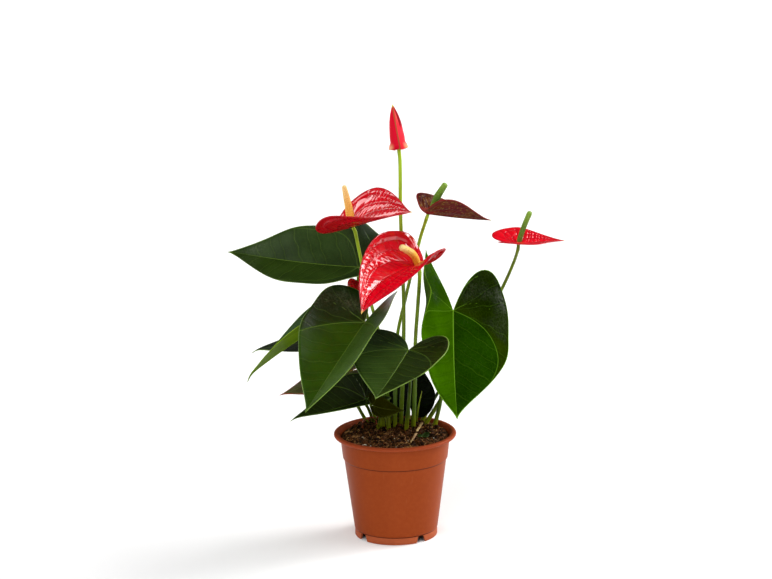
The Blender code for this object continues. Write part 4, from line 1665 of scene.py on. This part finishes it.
@dataclass
class Pot:
    """The nursery pot, with rounded edges and its foot's drain notches."""

    height: float = 104.0
    rim: float = 60.0
    roll: float = 1.9  # radius of the rolled rim
    roll_steps: int = 8
    neck: float = 53.7
    shoulder: float = 50.3
    base: float = 40.5
    wall: float = 1.45
    shoulder_z: float = 78.4
    foot: float = 7.2
    recess: float = 7.4
    floor_z: float = 9.0
    segments: int = 180
    notches: int = 4
    first_notch: float = -53.0
    notch_height: float = 6.8
    notch_width: float = 7.0
    notch_foot_width: float = 11.5
    notch_reach: tuple[float, float] = (34.0, 46.0)
    notch_round: float = 1.4
    sharp: float = 50.0

    def profile(self) -> list[tuple[float, float]]:
        """The outline that is turned into the pot.

        Returns:
            (radius, height) points from the middle of the floor over the rim to the middle of the underside.
        """
        top, base, shoulder = self.height, self.base, self.shoulder
        rim, neck, foot, step_z, floor_z = self.rim, self.neck, self.foot, self.shoulder_z, self.floor_z
        inside = [(0, floor_z), (base - 3.2, floor_z), (base - 1.5, floor_z + 0.6),
                  (base - 1.0, floor_z + 2.2), (shoulder - self.wall, step_z), (shoulder - 0.4, step_z + 1.4),
                  (shoulder, step_z + 2.4), (neck - self.wall, top - 6.0), (neck + 0.3, top - 3.0),
                  (rim - 5.2, top - 0.9)]
        lip = [(rim - 4.2, top - 0.25), (rim - 3.0, top)]
        for step in range(self.roll_steps + 1):
            turn = math.radians(90 - step * 180 / self.roll_steps)
            lip.append((rim - self.roll + self.roll * math.cos(turn),
                        top - self.roll + self.roll * math.sin(turn)))
        outside = [(rim - 3.6, top - 4.0), (neck + 0.9, top - 4.1), (neck + 0.2, top - 4.5),
                   (neck - 0.05, top - 5.5), (shoulder + 1.2, step_z + 1.2), (shoulder + 1.0, step_z + 0.5),
                   (shoulder + 0.3, step_z + 0.1), (shoulder - 0.1, step_z - 0.8), (base + 0.5, foot + 1.4),
                   (base + 0.2, foot + 0.5), (base - 0.6, foot + 0.1), (base - 0.5, foot - 0.5),
                   (base - 0.05, foot - 1.1), (base, 0.7), (base - 0.2, 0.2), (base - 0.6, 0)]
        under = [(base - 1.9, 0), (base - 2.2, 0.3), (base - 2.3, self.recess - 0.3),
                 (base - 2.8, self.recess), (0, self.recess)]
        return inside + lip + outside + under

    def build(self) -> None:
        """Turn the profile, cut the notches and dress the pot."""
        shape = bmesh.new()
        points = [shape.verts.new((radius * MM, 0.0, height * MM)) for radius, height in self.profile()]
        turned(shape, points, self.segments)
        bmesh.ops.recalc_face_normals(shape, faces=shape.faces)
        finish = ClayPlasticFinish().material("clay_plastic")
        pot = finished("pot_fine", shape, [finish], "clay_plastic", "pot", sharp=self.sharp)
        cutters = [self.notch(number) for number in range(self.notches)]
        for cutter in cutters:
            modifier = pot.modifiers.new("Notch", "BOOLEAN")
            modifier.object = cutter
            modifier.solver = "EXACT"
        bpy.context.view_layer.update()
        evaluated = pot.evaluated_get(bpy.context.evaluated_depsgraph_get())
        mesh = bpy.data.meshes.new_from_object(evaluated)
        pot.modifiers.clear()
        pot.data = mesh
        mesh.shade_smooth()
        mesh.set_sharp_from_angle(angle=math.radians(self.sharp))
        for cutter in cutters:
            bpy.data.objects.remove(cutter, do_unlink=True)

    def notch(self, number: int) -> bpy.types.Object:
        """A drain notch's cutter, wider at the floor than above and rounded at its top.

        Args:
            number: Which notch.

        Returns:
            The cutter.
        """
        shape = bmesh.new()
        bmesh.ops.create_cube(shape, size=1.0)
        for vertex in shape.verts:
            above = vertex.co.z > 0
            width = self.notch_width if above else self.notch_foot_width
            reach = self.notch_reach[0] if vertex.co.y > 0 else self.notch_reach[1]
            height = self.notch_height if above else -1.0
            vertex.co = Vector((math.copysign(width / 2, vertex.co.x), -reach, height)) * MM
        upper = [edge for edge in shape.edges if all(vertex.co.z > 0 for vertex in edge.verts)
                 and abs(edge.verts[0].co.x - edge.verts[1].co.x) < MERGE]
        bmesh.ops.bevel(shape, geom=upper, offset=self.notch_round * MM, segments=5, affect="EDGES",
                        profile=0.5, material=-1)
        bmesh.ops.recalc_face_normals(shape, faces=shape.faces)
        turn = math.radians(self.first_notch + number * 360 / self.notches)
        bmesh.ops.rotate(shape, verts=shape.verts, cent=(0, 0, 0), matrix=Matrix.Rotation(turn, 3, "Z"))
        return added("notch", meshed("notch", shape))


@dataclass
class Soil:
    """The peat: a crumbly mound, loose crumbs on it, and dry fibres."""

    edge: float = 52.0
    neck: Point = (49.8, 0.0, 92.0)  # a point of the body's side
    foot: Point = (47.0, 0.0, 70.0)  # the edge of its underside
    rings: int = 44
    steps: int = 150
    lumps: float = 2.2  # height of the crumbly relief
    lump_size: float = 6.5
    crumbs: int = 1100
    fibres: int = 420
    fibre_steps: int = 5
    flecks: int = 16
    seed: int = 7

    def build(self) -> None:
        """Make the mound, the crumbs and the fibres."""
        self.mound()
        rng = random.Random(self.seed)
        self.scatter_crumbs(rng)
        self.scatter_fibres(rng)

    def top(self, x: float, y: float) -> float:
        """Height of the crumbly surface.

        Args:
            x: Distance to the right of the pot's axis.
            y: Distance behind it.

        Returns:
            The height above the floor.
        """
        radius = math.hypot(x, y)
        rough = noise.fractal(Vector((x, y, 3.0)) / self.lump_size, 0.7, 2.1, 4)
        rough = rough * self.lumps * self.bare(x, y)
        return soil_height(x, y) + 0.3 + rough * min(1.0, max(0.0, (self.edge - radius) / 3))

    @staticmethod
    def bare(x: float, y: float) -> float:
        """1 in the open, falling to 0 under the scrap of leaf that lies on the peat."""
        away = math.hypot(x - LEAF_SCRAP.foot[0] - 1.0, y - LEAF_SCRAP.foot[1])
        return min(1.0, max(0.0, (away - 5.0) / 4.0))

    def mound(self) -> None:
        """The body of the peat."""
        shape = bmesh.new()
        radii = [0.0] + [self.edge * ((step + 1) / self.rings) ** 0.9 for step in range(self.rings)]
        outline = [(radius, 0.0, SOIL_EDGE_Z) for radius in radii]
        outline += [self.neck, self.foot, (0.0, 0.0, self.foot[2])]
        points = [shape.verts.new([value * MM for value in point]) for point in outline]
        turned(shape, points, self.steps)
        for vertex in shape.verts:
            if vertex.co.z > (SOIL_EDGE_Z - 5) * MM:
                vertex.co.z = self.top(vertex.co.x / MM, vertex.co.y / MM) * MM
        bmesh.ops.recalc_face_normals(shape, faces=shape.faces)
        finished("soil_mound", shape, [PeatFinish().material("peat")], "peat", "soil")

    def spot(self, rng: random.Random, inset: float) -> tuple[float, float]:
        """A random place on the soil.

        Args:
            rng: The source of the random places.
            inset: How far it stays from the edge.

        Returns:
            Distances to the right of the pot's axis and behind it.
        """
        radius = (self.edge - inset) * math.sqrt(rng.random())
        angle = rng.uniform(0, FULL_TURN)
        return radius * math.cos(angle), radius * math.sin(angle)

    def scatter_crumbs(self, rng: random.Random) -> None:
        """Loose crumbs in two tones.

        Args:
            rng: The source of the random places.
        """
        bark = PeatFinish(shade_of(88, 50, 24), shade_of(160, 106, 60), shade_of(210, 160, 104))
        tones = (
            ("soil_crumbs", PeatFinish(), self.crumbs, (0.7, 2.9), 0.9),
            ("soil_bark", bark, self.crumbs // 4, (0.5, 1.6), 1.0),
        )
        for name, finish, count, sizes, power in tones:
            shape = bmesh.new()
            for _ in range(count):
                size = rng.uniform(*sizes) ** power
                x, y = self.spot(rng, 0.4 + 1.9 * size)
                size *= max(0.3, self.bare(x, y))
                made = bmesh.ops.create_icosphere(shape, subdivisions=1, radius=1.0)["verts"]
                for vertex in made:
                    vertex.co *= rng.uniform(0.75, 1.25)
                angle = rng.uniform(0, 6.28)
                turn = Matrix.Rotation(angle, 3, Vector((rng.random(), rng.random(), rng.random())))
                stretch = Matrix.Diagonal((size * rng.uniform(0.8, 1.9), size, size * rng.uniform(0.5, 0.9)))
                bmesh.ops.transform(shape, matrix=(turn @ stretch).to_4x4(), verts=made)
                lift = self.top(x, y) + 0.25 * size
                for vertex in made:
                    vertex.co = (vertex.co + Vector((x, y, lift))) * MM
            finished(name, shape, [finish.material(name)], "peat", sharp=30)

    def scatter_fibres(self, rng: random.Random) -> None:
        """Thin curved fibres and twigs, and a few pale splinters.

        Args:
            rng: The source of the random places.
        """
        tan = DryFinish(shade_of(206, 152, 90), shade_of(110, 68, 34))
        white = DryFinish(shade_of(244, 236, 220), shade_of(196, 176, 150))
        kinds = (
            ("soil_fibres", self.fibres, (4, 11), (0.16, 0.42), tan),
            ("soil_flecks", self.flecks, (2, 5), (0.30, 0.50), white),
        )
        reach = self.edge - 1.5
        for name, count, lengths, thicknesses, finish in kinds:
            shape = bmesh.new()
            for _ in range(count):
                x, y = self.spot(rng, 2.0)
                heading, length = rng.uniform(0, FULL_TURN), rng.uniform(*lengths)
                bow, rise = rng.uniform(-0.5, 0.5), rng.uniform(1.0, 4.0)
                path = []
                for step in range(self.fibre_steps + 1):
                    share = step / self.fibre_steps - 0.5
                    px = x + length * share * math.cos(heading + bow * share)
                    py = y + length * share * math.sin(heading + bow * share)
                    away = math.hypot(px, py)
                    if away > reach:
                        px, py = px * reach / away, py * reach / away
                    path.append(Vector((px, py, self.top(px, py) + 0.9 + (0.25 - share * share) * rise)))
                radius = rng.uniform(*thicknesses)
                shares = [step / self.fibre_steps for step in range(self.fibre_steps + 1)]
                tube(shape, path, [radius * (1 - abs(share - 0.5)) for share in shares], 4)
            finished(name, shape, [finish.material(name)], "dry_stalk")


@dataclass
class Litter:
    """What grows or lies low among the stalks: the spear, the dry sheath, the dry stalk and the scrap."""

    start: tuple[float, float] = (27.0, 27.0)
    end: tuple[float, float] = (15.0, -30.0)
    radius: float = 1.4
    steps: int = 24
    lift: float = 0.9  # how far the dry stalk's underside is above the plain height of the peat

    def build(self) -> None:
        """Make the four pieces."""
        spear = StalkFinish(high=shade_of(176, 190, 60), low=shade_of(110, 140, 30), low_height=104,
                            high_height=134, flush=shade_of(170, 60, 30), flushed=0.35)
        StalkMaker(spear.material("spear_green"), knee=1.0, step=1.5).build(SPEAR, [], share=1.0)
        dry = DryFinish(shade_of(178, 82, 38), shade_of(96, 56, 40)).material("dry_sheath")
        piece = StalkMaker(dry, knee=1.0, step=1.0).build(DRY_SHEATH, [], share=1.0)
        start, end = Vector((*self.start, 0)), Vector((*self.end, 0))
        line = [start.lerp(end, step / self.steps) for step in range(self.steps + 1)]
        path = [Vector((p.x, p.y, soil_height(p.x, p.y) + self.radius + self.lift)) for p in line]
        radii = [self.radius * (1 - 0.25 * step / self.steps) * (0.55 if step in (0, self.steps) else 1)
                 for step in range(self.steps + 1)]
        shape = bmesh.new()
        tube(shape, path, radii, 14, lambda share, turn: 1 + 0.10 * math.cos(6 * math.pi * turn + 4 * share))
        tan = DryFinish(shade_of(214, 182, 122), shade_of(140, 100, 58)).material("dry_stalk")
        finished("dry_stalk_fine", shape, [tan], "dry_stalk", "dry_stalk")
        scrap = LeafFinish.even(shade_of(24, 40, 8), under=shade_of(50, 66, 20),
                                vein=shade_of(60, 84, 26), margin=shade_of(60, 80, 30))
        maker = BladeMaker(LEAF_SCRAP, 0.6, VeinPlan.SHORT, rays=30, rings=8, rib_gap=5.0, relief=0.1)
        maker.build([scrap.upper("scrap_upper"), scrap.underside("scrap_under")], "leaf_dark_green")


@dataclass(frozen=True)
class Sun:
    """A far, wide light.

    Its direction is where it shines from: degrees to the right of the camera, and above the horizon. Its
    width is in degrees too.
    """

    name: str
    direction: tuple[float, float]
    width: float
    strength: float
    glints: bool = True  # whether glossy surfaces mirror it


SUNS = (
    Sun("right", (112, 28), 60, 2.1, glints=False),
    Sun("right_glint", (116, 28), 25, 1.9),
    Sun("right_sheen", (72, 44), 32, 0.5),
    Sun("left", (-128, 26), 56, 1.3, glints=False),
    Sun("left_glint", (-130, 24), 16, 0.3),
    Sun("front", (-15, 42), 60, 1.7, glints=False),
    Sun("front_glint", (-20, 40), 36, 0.4),
)


@dataclass
class Studio:
    """The floor, the lights and the camera."""

    distance: float = 3200.0
    aim: Point = (-7.0, 0.0, 247.3)
    down: float = 14.0
    tilt: float = -0.745
    lens: float = 154.0
    sensor: float = 36.0
    far: float = 60.0  # how far the camera sees, in metres
    floor_size: float = 60.0
    sky: float = 0.08

    def build(self) -> None:
        """Make the whole studio."""
        self.floor()
        self.camera()
        self.world()
        for sun in SUNS:
            self.hang(sun)

    def floor(self) -> None:
        """A plain pale floor."""
        shape = bmesh.new()
        bmesh.ops.create_grid(shape, x_segments=1, y_segments=1, size=self.floor_size / 2)
        mesh = meshed("floor", shape)
        graph = Graph("floor_white")
        graph.set(Base_Color=(0.92, 0.92, 0.92), Roughness=0.9, Specular_IOR_Level=0.1)
        mesh.materials.append(graph.material)
        added("floor", mesh)

    def camera(self) -> None:
        """The camera at the photograph's viewing angle."""
        pitch, tilt = math.radians(self.down), math.radians(self.tilt)
        ahead = Vector((0, math.cos(pitch), -math.sin(pitch)))
        right = Vector((1, 0, 0))
        up = right.cross(ahead)
        right, up = (right * math.cos(tilt) + up * math.sin(tilt),
                     up * math.cos(tilt) - right * math.sin(tilt))
        data = bpy.data.cameras.new("camera")
        data.sensor_width = self.sensor
        data.lens = self.lens
        data.clip_end = self.far
        camera = added("camera", data)
        place = (Vector(self.aim) - ahead * self.distance) * MM
        camera.matrix_world = Matrix.Translation(place) @ Matrix((right, up, -ahead)).transposed().to_4x4()
        bpy.context.scene.camera = camera

    @staticmethod
    def hang(sun: Sun) -> None:
        """Add one light.

        Args:
            sun: Its direction, size and strength.
        """
        data = bpy.data.lights.new(sun.name, "SUN")
        data.energy = sun.strength
        data.angle = math.radians(sun.width)
        light = added(sun.name, data)
        side, rise = (math.radians(angle) for angle in sun.direction)
        source = Vector((math.sin(side) * math.cos(rise), -math.cos(side) * math.cos(rise), math.sin(rise)))
        light.rotation_euler = source.to_track_quat("Z", "Y").to_euler()
        light.visible_glossy = sun.glints

    def world(self) -> None:
        """A plain, dim white sky."""
        world = bpy.data.worlds.new("studio")
        world.use_nodes = True
        background = world.node_tree.nodes["Background"]
        background.inputs["Color"].default_value = (1, 1, 1, 1)
        background.inputs["Strength"].default_value = self.sky
        bpy.context.scene.world = world
        bpy.context.scene.view_settings.view_transform = "Standard"


def leaf_finishes() -> dict[str, LeafFinish]:
    """The finishes of the leaves that differ from the plain one.

    Returns:
        One finish for each leaf's name.
    """
    return {
        "leaf_upper_left": LeafFinish(
            # painted sheen: the right half's lighter, greyer greens
            shade_of(35, 53, 9), shade_of(31, 49, 11), shade_of(42, 60, 24), shade_of(40, 56, 22), arcs=0.3,
            tip_wax_and_sheen=0.7),
        "leaf_front_left": LeafFinish(
            # painted sheen: the left half's lighter, greyer greens
            shade_of(60, 86, 26), shade_of(56, 80, 28), shade_of(42, 72, 2), shade_of(30, 52, 8), arcs=0.6,
            ribs=0.2, shine=0.3, wax_and_sheen=0.9),
        "leaf_front": LeafFinish(
            shade_of(32, 46, 10), shade_of(36, 44, 4), shade_of(42, 62, 18), shade_of(46, 66, 26), arcs=0.35,
            ribs=0.2, edge=1.0, wax_and_sheen=0.3),
        "leaf_right": LeafFinish(
            shade_of(22, 52, 0), shade_of(34, 50, 0), shade_of(52, 92, 0), shade_of(60, 102, 2),
            vein=shade_of(110, 160, 40), margin=shade_of(120, 170, 40), arcs=0.3, ribs=0.07, shine=0.0,
            wax_and_sheen=0.2),
        "leaf_left": LeafFinish.even(
            shade_of(30, 62, 4), under=shade_of(88, 116, 2), margin=shade_of(140, 170, 40), shine=0.04),
        "leaf_back_low_left": LeafFinish.even(shade_of(24, 32, 20), under=shade_of(26, 34, 22)),
        "leaf_lower_left": LeafFinish.even(
            shade_of(84, 78, 40), under=shade_of(96, 82, 44), margin=shade_of(150, 56, 34), shine=0.05,
            edge=1.4),
        "leaf_low_left": LeafFinish(
            shade_of(24, 38, 6), shade_of(26, 38, 4), shade_of(32, 44, 10), shade_of(32, 44, 12), arcs=0.4),
        # painted shade: this leaf's greens are near black because it hangs in the shade behind the stalks
        "leaf_upright": LeafFinish.even(
            shade_of(10, 16, 3), under=shade_of(12, 18, 4), vein=shade_of(40, 56, 18),
            margin=shade_of(30, 42, 14), arcs=0.15, midrib=0.4, shine=0.1),
        "leaf_small": LeafFinish.even(
            shade_of(30, 30, 0), under=shade_of(34, 34, 0), vein=shade_of(50, 56, 14),
            margin=shade_of(60, 66, 20), shine=0.0),
    }


def main() -> None:
    """Build every part of the scene."""
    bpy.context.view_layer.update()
    plain = LeafFinish.even(shade_of(32, 58, 22))
    for name, part in (("studio", Studio()), ("pot", Pot()), ("soil", Soil()), ("litter", Litter()),
                       ("foliage", Foliage(leaf_finishes(), plain)), ("flowers", Flowers()), ("bud", Bud())):
        part.build()
        log.info("built the %s", name)


if __name__ == "__main__":
    main()
